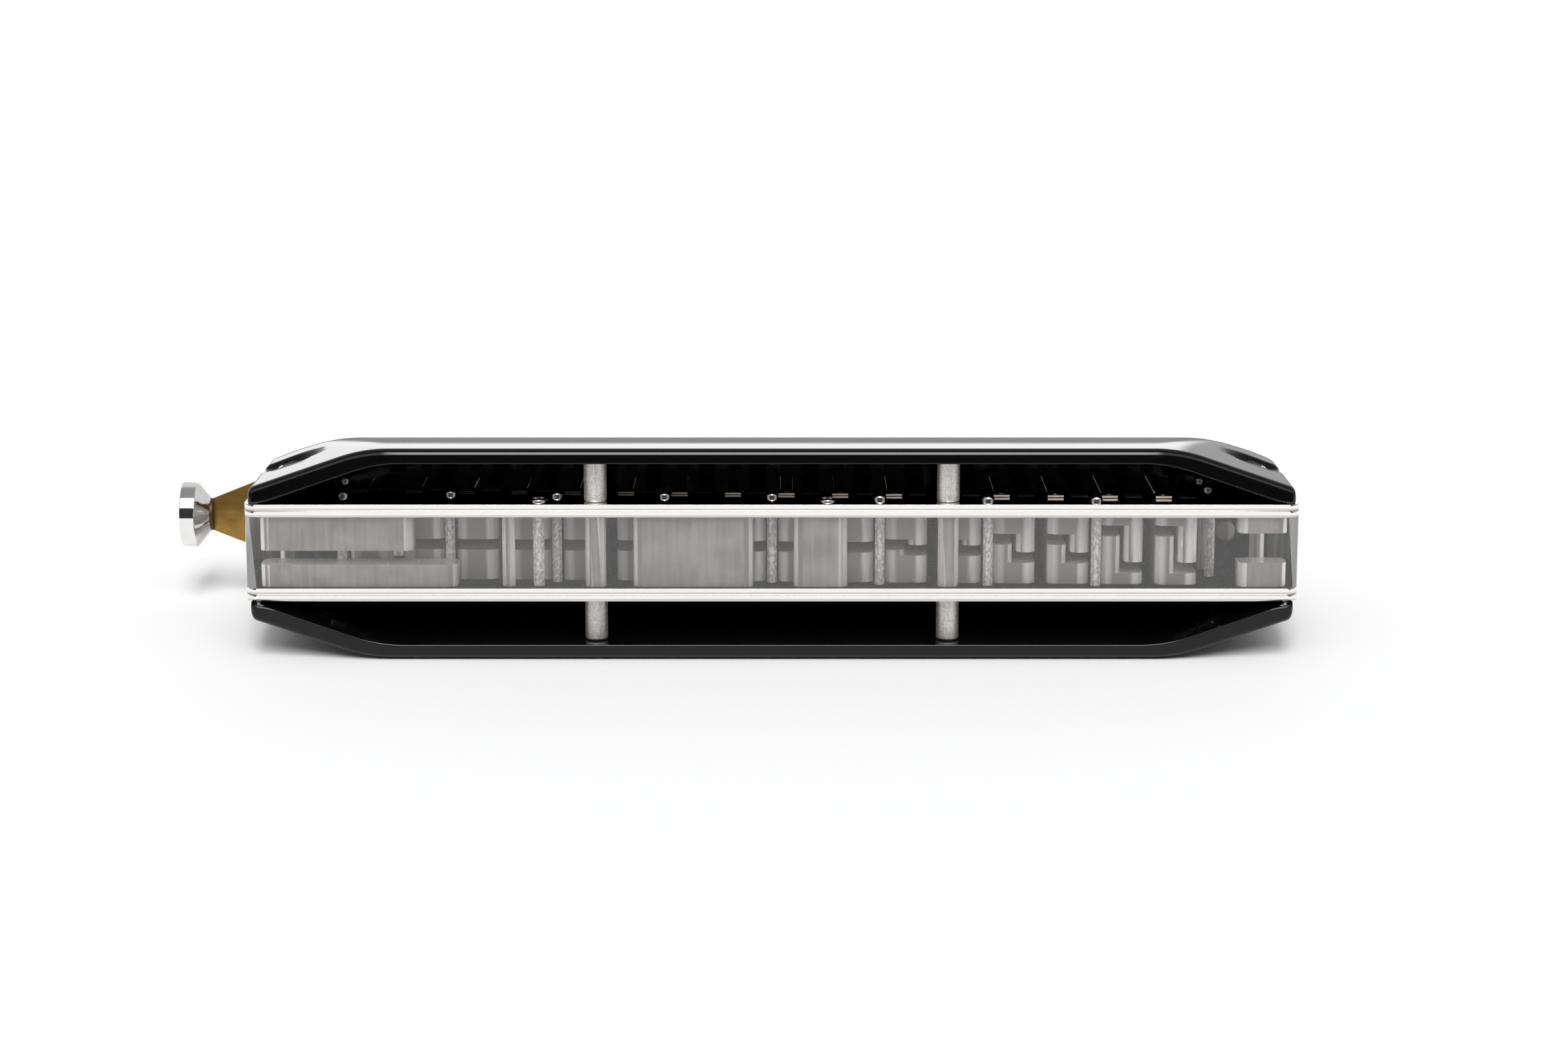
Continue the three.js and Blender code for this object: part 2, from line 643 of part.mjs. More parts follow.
// Posts under the rear rims, each pair on one stud through the plates and the comb.
const post = turned([
  [0, rimHeight],
  [POST_RADIUS, rimHeight],
  [POST_RADIUS, 0],
  [studBore, 0],
  [studBore, STUD_REACH],
  [0, STUD_REACH],
].reverse(), 'z', ROUND_SIDES, 0, postY);
sides.forEach(({ name: end, sign }) => {
  faces.forEach(({ name: face, z, side }) => {
    const placed = geometryOf(standOn(post, z, side));
    placed.translate(sign * POST_X, 0, 0);
    addPiece(`${face}_post_${end}`, solid(placed), 'brushed');
  });
  addPiece(`post_stud_${end}`, turned([
    [0, lowerOuterZ - STUD_REACH],
    [STUD_RADIUS, lowerOuterZ - STUD_REACH],
    [STUD_RADIUS, upperTopZ + STUD_REACH],
    [0, upperTopZ + STUD_REACH],
  ], 'z', SMALL_SIDES, sign * POST_X, postY), 'steel');
});

// Plate screws: round heads above, and the tips show as nubs below.
plateScrews.forEach(({ name, x, y }) => {
  addPiece(name, turned([
    [0, lowerOuterZ - PLATE_SCREW_NUB],
    [PLATE_SCREW_RADIUS, lowerOuterZ - PLATE_SCREW_NUB],
    [PLATE_SCREW_RADIUS, upperTopZ],
    [PLATE_SCREW_HEAD_RADIUS, upperTopZ],
    [PLATE_SCREW_HEAD_RADIUS, upperTopZ + PLATE_SCREW_HEAD_HEIGHT * DOME_WALL],
    [PLATE_SCREW_HEAD_RADIUS * DOME_BEND_RADIUS, upperTopZ + PLATE_SCREW_HEAD_HEIGHT * DOME_BEND_HEIGHT],
    [0, upperTopZ + PLATE_SCREW_HEAD_HEIGHT],
  ], 'z', SMALL_SIDES, x, y), 'steel');
});

// Short screws hold each pair of plates together and end just inside the comb.
const shortScrew = turned([
  [0, -2 * PLATE_THICKNESS - SHORT_SCREW_TIP],
  [SHORT_SCREW_RADIUS, -2 * PLATE_THICKNESS - SHORT_SCREW_TIP],
  [SHORT_SCREW_RADIUS, 0],
  [SHORT_SCREW_HEAD_RADIUS, 0],
  [SHORT_SCREW_HEAD_RADIUS, SHORT_SCREW_HEAD_HEIGHT * HEAD_WALL],
  [SHORT_SCREW_HEAD_RADIUS * HEAD_TOP_RADIUS, SHORT_SCREW_HEAD_HEIGHT],
  [0, SHORT_SCREW_HEAD_HEIGHT],
], 'z', SMALL_SIDES, 0, shortScrewY);
SHORT_SCREW_XS.forEach((x, i) => {
  faces.forEach(({ name, z, side }) => {
    const placed = geometryOf(standOn(shortScrew, z, side));
    placed.translate(x, 0, 0);
    addPiece(`${name}_short_screw_${i + 1}`, solid(placed), 'steel');
  });
});

// Cover bolts run from a pocket of the upper cover to a nut in the lower one.
const boltSeatZ = upperTopZ + POCKET_FLOOR;
const nutSeatZ = lowerOuterZ - POCKET_FLOOR;
sides.forEach(({ name, sign }) => {
  addPiece(`cover_bolt_${name}`, turned([
    [0, nutSeatZ - NUT_HEIGHT],
    [BOLT_RADIUS, nutSeatZ - NUT_HEIGHT],
    [BOLT_RADIUS, boltSeatZ],
    [BOLT_HEAD_RADIUS, boltSeatZ],
    [BOLT_HEAD_RADIUS, boltSeatZ + BOLT_HEAD_HEIGHT * HEAD_WALL],
    [BOLT_HEAD_RADIUS * HEAD_TOP_RADIUS, boltSeatZ + BOLT_HEAD_HEIGHT],
    [0, boltSeatZ + BOLT_HEAD_HEIGHT],
  ], 'z', SMALL_SIDES, sign * boltX, boltY), 'steel');
  addPiece(`cover_nut_${name}`, pierced(
    circle(sign * boltX, boltY, NUT_RADIUS, NUT_SIDES), 'z', nutSeatZ - NUT_HEIGHT, nutSeatZ,
    [circle(sign * boltX, boltY, boltBore, SMALL_SIDES)],
  ), 'steel');
});

// Slide back plate: a window into each chamber, and a slot that the spring reaches through.
function windowOutline(x, row) {
  const z = middleZ + row * WINDOW_ROW;
  return rectangle(
    x - WINDOW_WIDTH / 2, x + WINDOW_WIDTH / 2, z - WINDOW_HEIGHT / 2, z + WINDOW_HEIGHT / 2,
  );
}

function mouthHole(x, radius) {
  const halfWidth = MOUTH_HOLE_WIDTH / 2;
  const halfHeight = MOUTH_HOLE_HEIGHT / 2;
  return rectangle(x - halfWidth, x + halfWidth, middleZ - halfHeight, middleZ + halfHeight, radius);
}

const wireRoom = WIRE_RADIUS + HOLE_CLEARANCE;
const mouthScrewBore = MOUTHPIECE_SCREW_RADIUS + HOLE_CLEARANCE;
const screwPassages = sides.map(({ sign }) => (
  circle(sign * mouthScrewX, middleZ, mouthScrewBore, SMALL_SIDES)
));
const springSlot = rectangle(
  springTipX - wireRoom, springTipX + SLIDE_TRAVEL + wireRoom, springZ - wireRoom, springZ + wireRoom,
);
const guideLow = middleZ - GUIDE_HEIGHT / 2;
const guideHigh = middleZ + GUIDE_HEIGHT / 2;
addPiece('slide_back_plate', pierced(
  rectangle(-halfLength, halfLength, guideLow, guideHigh), 'y', frontY, guideRearY,
  [...holeXs.flatMap((x) => [windowOutline(x, 1), windowOutline(x, -1)]), ...screwPassages, springSlot],
), 'brass');

// Slide: at rest its upper windows stand open, and pressed in by its travel its lower ones do.
const slideHalf = SLIDE_HEIGHT / 2;
const neckHalf = SLIDE_NECK_HEIGHT / 2;
const tongueHalf = SLIDE_TONGUE_HEIGHT / 2;
const slideEndX = halfLength - SLIDE_RIGHT_INSET;
const neckX = -halfLength - SLIDE_NECK_REACH;
const shoulderX = neckX + SLIDE_TAPER_LENGTH;
const tongueX = neckX - SLIDE_TONGUE_LENGTH;
const slideOutline = [
  [tongueX, -tongueHalf],
  [neckX, -tongueHalf],
  [neckX, -neckHalf],
  [shoulderX, -slideHalf],
  [slideEndX, -slideHalf],
  [slideEndX, slideHalf],
  [shoulderX, slideHalf],
  [neckX, neckHalf],
  [neckX, tongueHalf],
  [tongueX, tongueHalf],
].map(([x, z]) => new THREE.Vector2(x, middleZ + z));
const slideHoles = [
  ...holeXs.flatMap((x) => [windowOutline(x, 1), windowOutline(x - SLIDE_TRAVEL, -1)]),
  ...sides.map(({ sign }) => rectangle(
    sign * mouthScrewX - SLIDE_TRAVEL - mouthScrewBore,
    sign * mouthScrewX + mouthScrewBore,
    middleZ - mouthScrewBore,
    middleZ + mouthScrewBore,
    mouthScrewBore * SLOT_ROUND,
  )),
  circle(springTipX, springZ, wireRoom, SMALL_SIDES),
];
addPiece('slide', pierced(slideOutline, 'y', slideRearY, slideFrontY, slideHoles), 'brass');

// Button: turned about X, with a slot for the tongue of the slide.
const collarX = neckX - BUTTON_COLLAR;
const discX = collarX - BUTTON_CONE;
const buttonEndX = discX - BUTTON_DISC;
const buttonBody = turned([
  [0, neckX],
  [BUTTON_NECK_RADIUS, neckX],
  [BUTTON_NECK_RADIUS, collarX],
  [BUTTON_RADIUS, discX],
  [BUTTON_RADIUS, buttonEndX + BUTTON_EDGE],
  [BUTTON_RADIUS - BUTTON_EDGE, buttonEndX],
  [BUTTON_RADIUS / 2, buttonEndX + BUTTON_DISH_BEND],
  [0, buttonEndX + BUTTON_DISH],
].reverse(), 'x', BUTTON_SIDES, slideMiddleY, middleZ);
const tongueSlot = prism(
  rectangle(
    tongueX - SLIDE_CLEARANCE, neckX + PAST,
    middleZ - tongueHalf - SLIDE_CLEARANCE, middleZ + tongueHalf + SLIDE_CLEARANCE,
  ),
  'y', slideRearY - SLIDE_CLEARANCE, slideFrontY + SLIDE_CLEARANCE,
);
addPiece('slide_button', buttonBody.subtract(tongueSlot), 'steel');

// Slide guide: a channel with a rail above and below the slide.
const railLow = middleZ - slideHalf - SLIDE_CLEARANCE;
const railHigh = middleZ + slideHalf + SLIDE_CLEARANCE;
const channel = prism([
  [guideRearY, guideLow],
  [mouthpieceRearY, guideLow],
  [mouthpieceRearY, guideHigh],
  [guideRearY, guideHigh],
  [guideRearY, railHigh],
  [guideFloorY, railHigh],
  [guideFloorY, railLow],
  [guideRearY, railLow],
].map(([y, z]) => new THREE.Vector2(y, z)), 'x', -halfLength, halfLength);
const guideTools = [...holeXs.map((x) => mouthHole(x, 0)), ...screwPassages].map((outline) => (
  prism(outline, 'y', guideRearY, mouthpieceRearY + PAST)
));
addPiece('slide_guide', cut(channel, guideTools), 'silver');

// Mouthpiece: a rounded bar with the mouth holes and two sunk screws.
const mouthpieceLow = middleZ - MOUTHPIECE_HEIGHT / 2;
const mouthpieceHigh = middleZ + MOUTHPIECE_HEIGHT / 2;
const mouthpieceBar = prism(rounded([
  [mouthpieceRearY, mouthpieceLow, MOUTHPIECE_BACK_RADIUS],
  [mouthpieceFrontY, mouthpieceLow, MOUTHPIECE_NOSE_RADIUS],
  [mouthpieceFrontY, mouthpieceHigh, MOUTHPIECE_NOSE_RADIUS],
  [mouthpieceRearY, mouthpieceHigh, MOUTHPIECE_BACK_RADIUS],
], ARC_STEPS), 'x', -halfLength, halfLength).intersect(prism(rounded([
  [-halfLength, mouthpieceRearY],
  [halfLength, mouthpieceRearY],
  [halfLength, mouthpieceFrontY, MOUTHPIECE_END_RADIUS],
  [-halfLength, mouthpieceFrontY, MOUTHPIECE_END_RADIUS],
], ARC_STEPS), 'z', mouthpieceLow - PAST, mouthpieceHigh + PAST));
const screwSeatY = mouthpieceFrontY - MOUTHPIECE_SCREW_SINK;
const roundHoles = holeXs.map((x) => mouthHole(x, (MOUTH_HOLE_WIDTH / 2) * SLOT_ROUND));
const mouthpieceTools = [
  ...[...roundHoles, ...screwPassages].map((outline) => (
    prism(outline, 'y', mouthpieceRearY - PAST, mouthpieceFrontY + PAST)
  )),
  ...sides.map(({ sign }) => prism(
    circle(sign * mouthScrewX, middleZ, MOUTHPIECE_SCREW_HEAD_RADIUS + HOLE_CLEARANCE, ROUND_SIDES),
    'y', screwSeatY, mouthpieceFrontY + PAST,
  )),
];
addPiece('mouthpiece', cut(mouthpieceBar, mouthpieceTools), 'silver');

sides.forEach(({ name, sign }) => {
  const screwX = sign * mouthScrewX;
  addPiece(`mouthpiece_screw_${name}`, turned([
    [0, frontY - MOUTHPIECE_SCREW_REACH],
    [MOUTHPIECE_SCREW_RADIUS, frontY - MOUTHPIECE_SCREW_REACH],
    [MOUTHPIECE_SCREW_RADIUS, screwSeatY],
    [MOUTHPIECE_SCREW_HEAD_RADIUS, screwSeatY],
    [MOUTHPIECE_SCREW_HEAD_RADIUS, screwSeatY + MOUTHPIECE_SCREW_HEAD_HEIGHT * HEAD_WALL],
    [MOUTHPIECE_SCREW_HEAD_RADIUS * HEAD_TOP_RADIUS, screwSeatY + MOUTHPIECE_SCREW_HEAD_HEIGHT],
    [0, screwSeatY + MOUTHPIECE_SCREW_HEAD_HEIGHT],
  ], 'y', SMALL_SIDES, screwX, middleZ), 'steel');
  addPiece(`mouthpiece_insert_${name}`, pierced(
    circle(screwX, middleZ, INSERT_RADIUS, SMALL_SIDES), 'y', frontY - INSERT_LENGTH, frontY,
    [circle(screwX, middleZ, mouthScrewBore, SMALL_SIDES)],
  ), 'brass');
});

// Spring: from its tip in the slide the wire runs to the rear along the floor of its pocket,
// bends and hooks on its pin. A flat of the wire lies on the floor.
function arcPoints(centreX, centreY, radius, startDegrees, turnDegrees, steps) {
  return Array.from({ length: steps + 1 }, (_, i) => {
    const angle = radians(startDegrees + (turnDegrees * i) / steps);
    return new THREE.Vector2(centreX + radius * Math.cos(angle), centreY + radius * Math.sin(angle));
  });
}

function wire(path, z, radius) {
  const vertices = [];
  const triangles = [];
  path.forEach((point, i) => {
    const before = path[Math.max(i - 1, 0)];
    const after = path[Math.min(i + 1, path.length - 1)];
    const ahead = after.clone().sub(before).normalize();
    for (let k = 0; k < SPRING_SIDES; k += 1) {
      const angle = (2 * Math.PI * (k + 0.5)) / SPRING_SIDES;
      const across = radius * Math.cos(angle);
      vertices.push(point.x + ahead.y * across, point.y - ahead.x * across, z + radius * Math.sin(angle));
    }
  });
  const last = path.length - 1;
  for (let k = 0; k < SPRING_SIDES; k += 1) {
    const next = (k + 1) % SPRING_SIDES;
    for (let i = 0; i < last; i += 1) {
      const here = i * SPRING_SIDES;
      const there = here + SPRING_SIDES;
      triangles.push(here + k, there + k, here + next, here + next, there + k, there + next);
    }
    if (k > 0 && k < SPRING_SIDES - 1) {
      triangles.push(0, k, next);
      triangles.push(last * SPRING_SIDES, last * SPRING_SIDES + next, last * SPRING_SIDES + k);
    }
  }
  const geometry = new THREE.BufferGeometry();
  geometry.setAttribute('position', new THREE.Float32BufferAttribute(vertices, 3));
  geometry.setIndex(triangles);
  return solid(geometry);
}

const springRunY = rearY + SPRING_RUN_DEPTH;
const bendX = springTipX + SPRING_BEND_RADIUS;
const bendY = springRunY + SPRING_BEND_RADIUS;
const springPath = [
  new THREE.Vector2(springTipX, slideFrontY),
  ...arcPoints(bendX, bendY, SPRING_BEND_RADIUS, 180, 90, ARC_STEPS),
  ...arcPoints(springPinX, springPinY, springPinY - springRunY, -90, SPRING_HOOK_TURN, 2 * ARC_STEPS),
];
addPiece('slide_spring', wire(springPath, springZ, WIRE_RADIUS), 'steel');
addPiece('spring_pin', prism(
  circle(springPinX, springPinY, SPRING_PIN_RADIUS, SMALL_SIDES),
  'z', upperLeftFloorZ - SPRING_PIN_SEAT, upperLeftFloorZ + SPRING_PIN_HEIGHT,
), 'steel');

export default harmonica;
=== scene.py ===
# A sixteen-hole slide chromatic harmonica lying on a white table, in metres.
# X runs along the instrument with the button at -X, the mouthpiece faces +Y and Z is up.
import math

import bmesh
import bpy
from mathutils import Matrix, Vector


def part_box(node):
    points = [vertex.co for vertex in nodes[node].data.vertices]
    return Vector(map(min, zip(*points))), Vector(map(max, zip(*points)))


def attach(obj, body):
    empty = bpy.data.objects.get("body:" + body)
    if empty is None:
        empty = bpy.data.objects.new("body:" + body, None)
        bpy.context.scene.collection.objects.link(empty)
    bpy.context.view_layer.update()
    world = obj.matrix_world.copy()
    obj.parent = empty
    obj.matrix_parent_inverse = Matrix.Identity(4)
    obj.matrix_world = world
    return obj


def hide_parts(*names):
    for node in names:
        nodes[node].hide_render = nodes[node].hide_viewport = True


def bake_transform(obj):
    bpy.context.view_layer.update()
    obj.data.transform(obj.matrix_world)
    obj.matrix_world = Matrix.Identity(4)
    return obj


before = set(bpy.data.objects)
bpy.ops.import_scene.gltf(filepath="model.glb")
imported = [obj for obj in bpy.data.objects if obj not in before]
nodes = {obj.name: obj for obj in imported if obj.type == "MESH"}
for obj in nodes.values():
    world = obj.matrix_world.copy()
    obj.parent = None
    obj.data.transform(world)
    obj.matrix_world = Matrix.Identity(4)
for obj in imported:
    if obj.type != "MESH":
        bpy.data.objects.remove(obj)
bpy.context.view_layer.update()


# Comb: a block of clear acrylic with milled chambers, relief pockets and drilled screw bores.
# Its rear face is polished, its ends are hazed, and the faces that were cut inside are left rough.
MM = 0.001
HOLE_PITCH = 9.5 * MM
CORNER = 2 * MM
FACE_DEPTH = 0.1 * MM
POCKET_DEPTH = 1.5 * MM
BORE_REACH = 1.4 * MM
MERGE = 2e-6
LEFT_BAND = 0.22
RIGHT_BAND = 0.755
BAND_FADE = (0.01, 0.15)


class Field:
    """A shader value. Sums and products of values add Math nodes, and node() adds any other."""

    def __init__(self, tree, socket=None):
        self.tree = tree
        self.socket = socket

    def node(self, kind, inputs=(), output=0, **settings):
        """Adds a node with its settings and the values or links of its sockets, and gives one output."""
        made = self.tree.nodes.new("ShaderNode" + kind)
        for name, value in settings.items():
            setattr(made, name, value)
        for name, value in dict(inputs).items():
            if isinstance(value, Field):
                self.tree.links.new(value.socket, made.inputs[name])
            else:
                made.inputs[name].default_value = value
        return Field(self.tree, made.outputs[output])

    def math(self, operation, *values):
        return self.node("Math", enumerate(values), operation=operation)

    def __add__(self, other):
        return self.math("ADD", self, other)

    def __sub__(self, other):
        return self.math("SUBTRACT", self, other)

    def __rsub__(self, other):
        return self.math("SUBTRACT", other, self)

    def __mul__(self, other):
        return self.math("MULTIPLY", self, other)

    def __abs__(self):
        return self.math("ABSOLUTE", self)

    __radd__ = __add__
    __rmul__ = __mul__

    def ramp(self, low, high):
        """0 below low, 1 above high and smooth between them."""
        return self.node("MapRange", {"Value": self, "From Min": low, "From Max": high},
                         interpolation_type="SMOOTHSTEP")

    def mix(self, first, second):
        """The colour between two colours, or between two Fields of colour."""
        ends = [end if isinstance(end, Field) else (*end, 1) for end in (first, second)]
        # A Mix node has sockets of every type under the same names, so the colour ones go by number.
        return self.node("Mix", {0: self, 6: ends[0], 7: ends[1]}, output=2, data_type="RGBA")

    def feed(self, socket):
        self.tree.links.new(self.socket, socket)


def new_finish(name, **constants):
    """A material, the Field of its object coordinates in millimetres, and its shader's sockets."""
    material = bpy.data.materials.new(name)
    material.use_nodes = True
    shader = material.node_tree.nodes["Principled BSDF"].inputs
    for socket, value in constants.items():
        shader[socket.replace("_", " ")].default_value = value
    metres = Field(material.node_tree).node("TexCoord", output="Object")
    return material, metres.node("Mapping", {"Vector": metres, "Scale": (1000, 1000, 1000)}), shader


def axes(place):
    """The X, Y and Z of a place."""
    return [place.node("SeparateXYZ", {0: place}, output=i) for i in range(3)]


def grain(place, scale, detail=3.0):
    """Noise with its own number of cells to the millimetre along each axis."""
    squeezed = place.node("Mapping", {"Vector": place, "Scale": scale})
    return place.node("TexNoise", {"Vector": squeezed, "Scale": 1.0, "Detail": detail})


def bump(height, strength, distance, shader):
    """Raises a surface by a height, over a distance in millimetres."""
    sockets = {"Strength": strength, "Distance": distance * MM, "Height": height}
    height.node("Bump", sockets).feed(shader["Normal"])


def deselect():
    bpy.ops.object.select_all(action="DESELECT")


def activate(piece):
    deselect()
    bpy.context.view_layer.objects.active = piece
    piece.select_set(True)


def edit(piece):
    activate(piece)
    bpy.ops.object.mode_set(mode="EDIT")
    bpy.ops.mesh.select_all(action="SELECT")


def dress(piece, material, body="body", replaces=()):
    """Gives a finished piece its material and its body, and hides the CAD nodes that it stands for."""
    piece.data.materials.clear()
    piece.data.materials.append(material)
    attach(piece, body)
    if replaces:
        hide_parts(*replaces)


comb_low, comb_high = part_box("comb")
comb = nodes["comb"].copy()
comb.data = comb.data.copy()
comb.name = "clear_comb"
comb.parent = None
for key in list(comb.keys()):
    del comb[key]
bpy.context.scene.collection.objects.link(comb)
edit(comb)
bpy.ops.mesh.remove_doubles(threshold=MERGE)
bpy.ops.object.mode_set(mode="OBJECT")
bpy.ops.object.shade_smooth_by_angle(angle=math.radians(35))

polished, place, shader = new_finish("polished_acrylic", IOR=1.3, Transmission_Weight=0.92, Roughness=0.01)
grain(place, (0.3, 0.3, 0.3)).mix((0.97, 0.955, 0.94), (0.985, 0.975, 0.965)).feed(shader["Base Color"])

milled, place, shader = new_finish("milled_acrylic", IOR=1.49, Transmission_Weight=0.3)
cutter_lines = grain(place, (2.5, 2.5, 0.25), 4.0)
(cutter_lines * 0.25 + 0.12).feed(shader["Roughness"])
cutter_lines.mix((0.94, 0.905, 0.88), (0.995, 0.975, 0.96)).feed(shader["Base Color"])
bump(cutter_lines, 0.15, 0.08, shader)

frosted, place, shader = new_finish("frosted_acrylic", IOR=1.49, Transmission_Weight=0.05)
brushing = grain(place, (1.2, 0.5, 0.1), 5.0)
clouds = grain(place, (0.12, 0.12, 0.2), 4.0)
(brushing * 0.25 + 0.3).feed(shader["Roughness"])
frost = (brushing * 0.4 + clouds * 0.6).ramp(0.3, 0.7)
frost.mix((0.27, 0.252, 0.242), (0.43, 0.407, 0.395)).feed(shader["Base Color"])
bump(grain(place, (4.0, 4.0, 0.5), 5.0), 0.3, 0.1, shader)

hazed, place, shader = new_finish("hazed_acrylic", IOR=1.3, Transmission_Weight=0.72, Coat_Weight=0.5)
haze = grain(place, (0.5, 0.5, 0.1), 3.0)
haze.mix((0.93, 0.925, 0.92), (0.99, 0.985, 0.98)).feed(shader["Base Color"])
(haze * 0.1 + 0.05).feed(shader["Roughness"])

drilled, place, shader = new_finish("drilled_acrylic", IOR=1.49, Transmission_Weight=0.2)
chips = grain(place, (2.2, 2.2, 1.6), 6.0)
chips.ramp(0.4, 0.64).mix((0.55, 0.53, 0.515), (0.99, 0.98, 0.97)).feed(shader["Base Color"])
(chips * 0.3 + 0.25).feed(shader["Roughness"])
bump(chips, 0.3, 0.12, shader)

hollowed, place, shader = new_finish("hollowed_acrylic", IOR=1.49, Transmission_Weight=0.15)
sweep = grain(place, (1.0, 1.0, 0.15), 4.0)
# Two bright bands run down the wall of each chamber: painted highlights, repeated at the pitch of the holes.
holes_along = axes(place)[0] * (MM / HOLE_PITCH) + (sweep - 0.5) * 0.06
share = holes_along.math("FRACT", holes_along)
left_band = 1 - abs(share - LEFT_BAND).ramp(*BAND_FADE)
right_band = 1 - abs(share - RIGHT_BAND).ramp(*BAND_FADE)
painted_highlights = left_band * 0.75 + right_band + (sweep - 0.5) * 0.5
painted_highlights.ramp(0.0, 1.1).mix((0.3, 0.285, 0.275), (1.0, 0.99, 0.98)).feed(shader["Base Color"])
(sweep * 0.25 + 0.2).feed(shader["Roughness"])
bump(sweep, 0.15, 0.08, shader)

dress(comb, polished, replaces=["comb"])
for cut in (milled, frosted, hazed, drilled, hollowed):
    comb.data.materials.append(cut)
POLISHED, MILLED, FROSTED, HAZED, DRILLED, HOLLOWED = range(6)
bores = [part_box(f"plate_screw_{i}") for i in range(1, 10)]
bores += [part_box("upper_short_screw_1"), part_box("upper_short_screw_2")]
bore_axes = [((low + high) / 2).to_2d() for low, high in bores]


def comb_finish(face):
    """The finish of a face of the comb, by its place and the way it faces."""
    place = face.center
    upright = abs(face.normal.z) < 0.5
    if upright and min((place.to_2d() - axis).length for axis in bore_axes) < BORE_REACH:
        return DRILLED
    if place.y < comb_low.y + FACE_DEPTH:
        return POLISHED
    at_corner = abs(place.x) > comb_high.x - CORNER and place.y < comb_low.y + CORNER
    if abs(place.x) > comb_high.x - FACE_DEPTH or at_corner and upright:
        return HAZED
    if face.normal.y > 0.9:
        in_pocket = place.y < comb_low.y + POCKET_DEPTH + FACE_DEPTH / 2
        return FROSTED if in_pocket else HOLLOWED
    return MILLED


for face in comb.data.polygons:
    face.material_index = comb_finish(face)
    square = max(abs(part) for part in face.normal) > 0.9999
    face.use_smooth = not square


# Reed plates: two plates of silvered brass on each face of the comb, slotted for the reeds.
# Their edges are grooved and polished, and screws clamp them to the comb.
HOLES = 16
PLATE = 1.2 * MM
GROOVE_SHARES = (0.4, 0.44, 0.48)
GROOVE_DEPTH = 0.1 * MM
SATIN_SHARE = 0.46
EDGE_FALL = 0.12 * MM
EDGE_ROUND = 0.07 * MM
SLOT_HALF = 1.1 * MM
REED_OFFSET = 2.15 * MM
FIRST_FOOT = 8.4 * MM
FOOT_STEP = 0.47 * MM
FIRST_LENGTH = 19 * MM
LENGTH_STEP = -0.6 * MM
TOUCH = 1e-6
plate_levels = {
    "upper_inner": comb_high.z,
    "upper_outer": comb_high.z + PLATE,
    "lower_inner": comb_low.z - PLATE,
    "lower_outer": comb_low.z - 2 * PLATE,
}


def steps(first, step, count):
    """A count of values at even steps from the first."""
    return [first + step * i for i in range(count)]


hole_xs = steps((HOLES - 1) / 2 * HOLE_PITCH, -HOLE_PITCH, HOLES)
reed_feet = steps(comb_low.y + FIRST_FOOT, FOOT_STEP, HOLES)
reed_lengths = steps(FIRST_LENGTH, LENGTH_STEP, HOLES)


def pick(kind, test):
    """Selects the verts, edges or faces of the open mesh that pass a test."""
    bpy.ops.mesh.select_mode(type={"verts": "VERT", "edges": "EDGE", "faces": "FACE"}[kind])
    bpy.ops.mesh.select_all(action="DESELECT")
    data = bpy.context.object.data
    mesh = bmesh.from_edit_mesh(data)
    for part in getattr(mesh, kind):
        part.select_set(test(part))
    mesh.select_flush_mode()
    bmesh.update_edit_mesh(data)


def spans(edge, axis):
    """How far an edge runs along an axis."""
    return abs(edge.verts[0].co[axis] - edge.verts[1].co[axis])


def block(name, low, high):
    """A box between two corners, to be shaped."""
    deselect()
    bpy.ops.mesh.primitive_cube_add(size=1, location=[(a + b) / 2 for a, b in zip(low, high)])
    piece = bpy.context.object
    piece.name = name
    piece.scale = [b - a for a, b in zip(low, high)]
    bpy.ops.object.transform_apply(location=True, rotation=True, scale=True)
    return piece


def joined(pieces, name):
    """Several pieces made one."""
    deselect()
    for piece in pieces:
        piece.select_set(True)
    bpy.context.view_layer.objects.active = pieces[0]
    if len(pieces) > 1:
        bpy.ops.object.join()
    pieces[0].name = name
    return pieces[0]


def carve(piece, tool):
    """Cuts a tool out of a piece and removes the tool."""
    activate(piece)
    modifier = piece.modifiers.new("cut", "BOOLEAN")
    modifier.object = tool
    modifier.operation = "DIFFERENCE"
    modifier.solver = "EXACT"
    bpy.ops.object.modifier_apply(modifier="cut")
    bpy.data.objects.remove(tool)


def done(piece, degrees):
    """Leaves edit mode and shades the piece smooth, with its sharp edges and flat faces kept."""
    if bpy.context.mode != "OBJECT":
        bpy.ops.object.mode_set(mode="OBJECT")
    activate(piece)
    bpy.ops.object.shade_smooth_by_angle(angle=math.radians(degrees))
    weigh = piece.modifiers.new("weigh", "WEIGHTED_NORMAL")
    weigh.keep_sharp = True
    bpy.ops.object.modifier_apply(modifier="weigh")
    return piece


silver, place, shader = new_finish("polished_silver", Metallic=1.0)
haze = grain(place, (0.08, 0.4, 0.4))
scratches = grain(place, (0.15, 6.0, 6.0), 4.0)
haze.mix((0.87, 0.85, 0.815), (0.96, 0.945, 0.915)).feed(shader["Base Color"])
(haze * 0.04 + scratches * 0.06 + 0.02).feed(shader["Roughness"])
bump(scratches, 0.05, 0.02, shader)

satin, place, shader = new_finish("satin_silver", Metallic=1.0)
lapping = grain(place, (0.1, 4.0, 4.0), 4.0)
lapping.mix((0.6, 0.575, 0.545), (0.74, 0.715, 0.68)).feed(shader["Base Color"])
(lapping * 0.1 + 0.12).feed(shader["Roughness"])
bump(lapping, 0.06, 0.02, shader)


def shrink_outline(depth):
    """Draws the selected outline of a plate in by a depth on every side."""
    wide = comb_high.x - comb_low.x
    deep = comb_high.y - comb_low.y
    bpy.ops.transform.resize(
        value=(1 - 2 * depth / wide, 1 - 2 * depth / deep, 1),
        center_override=(0, (comb_low.y + comb_high.y) / 2, 0))


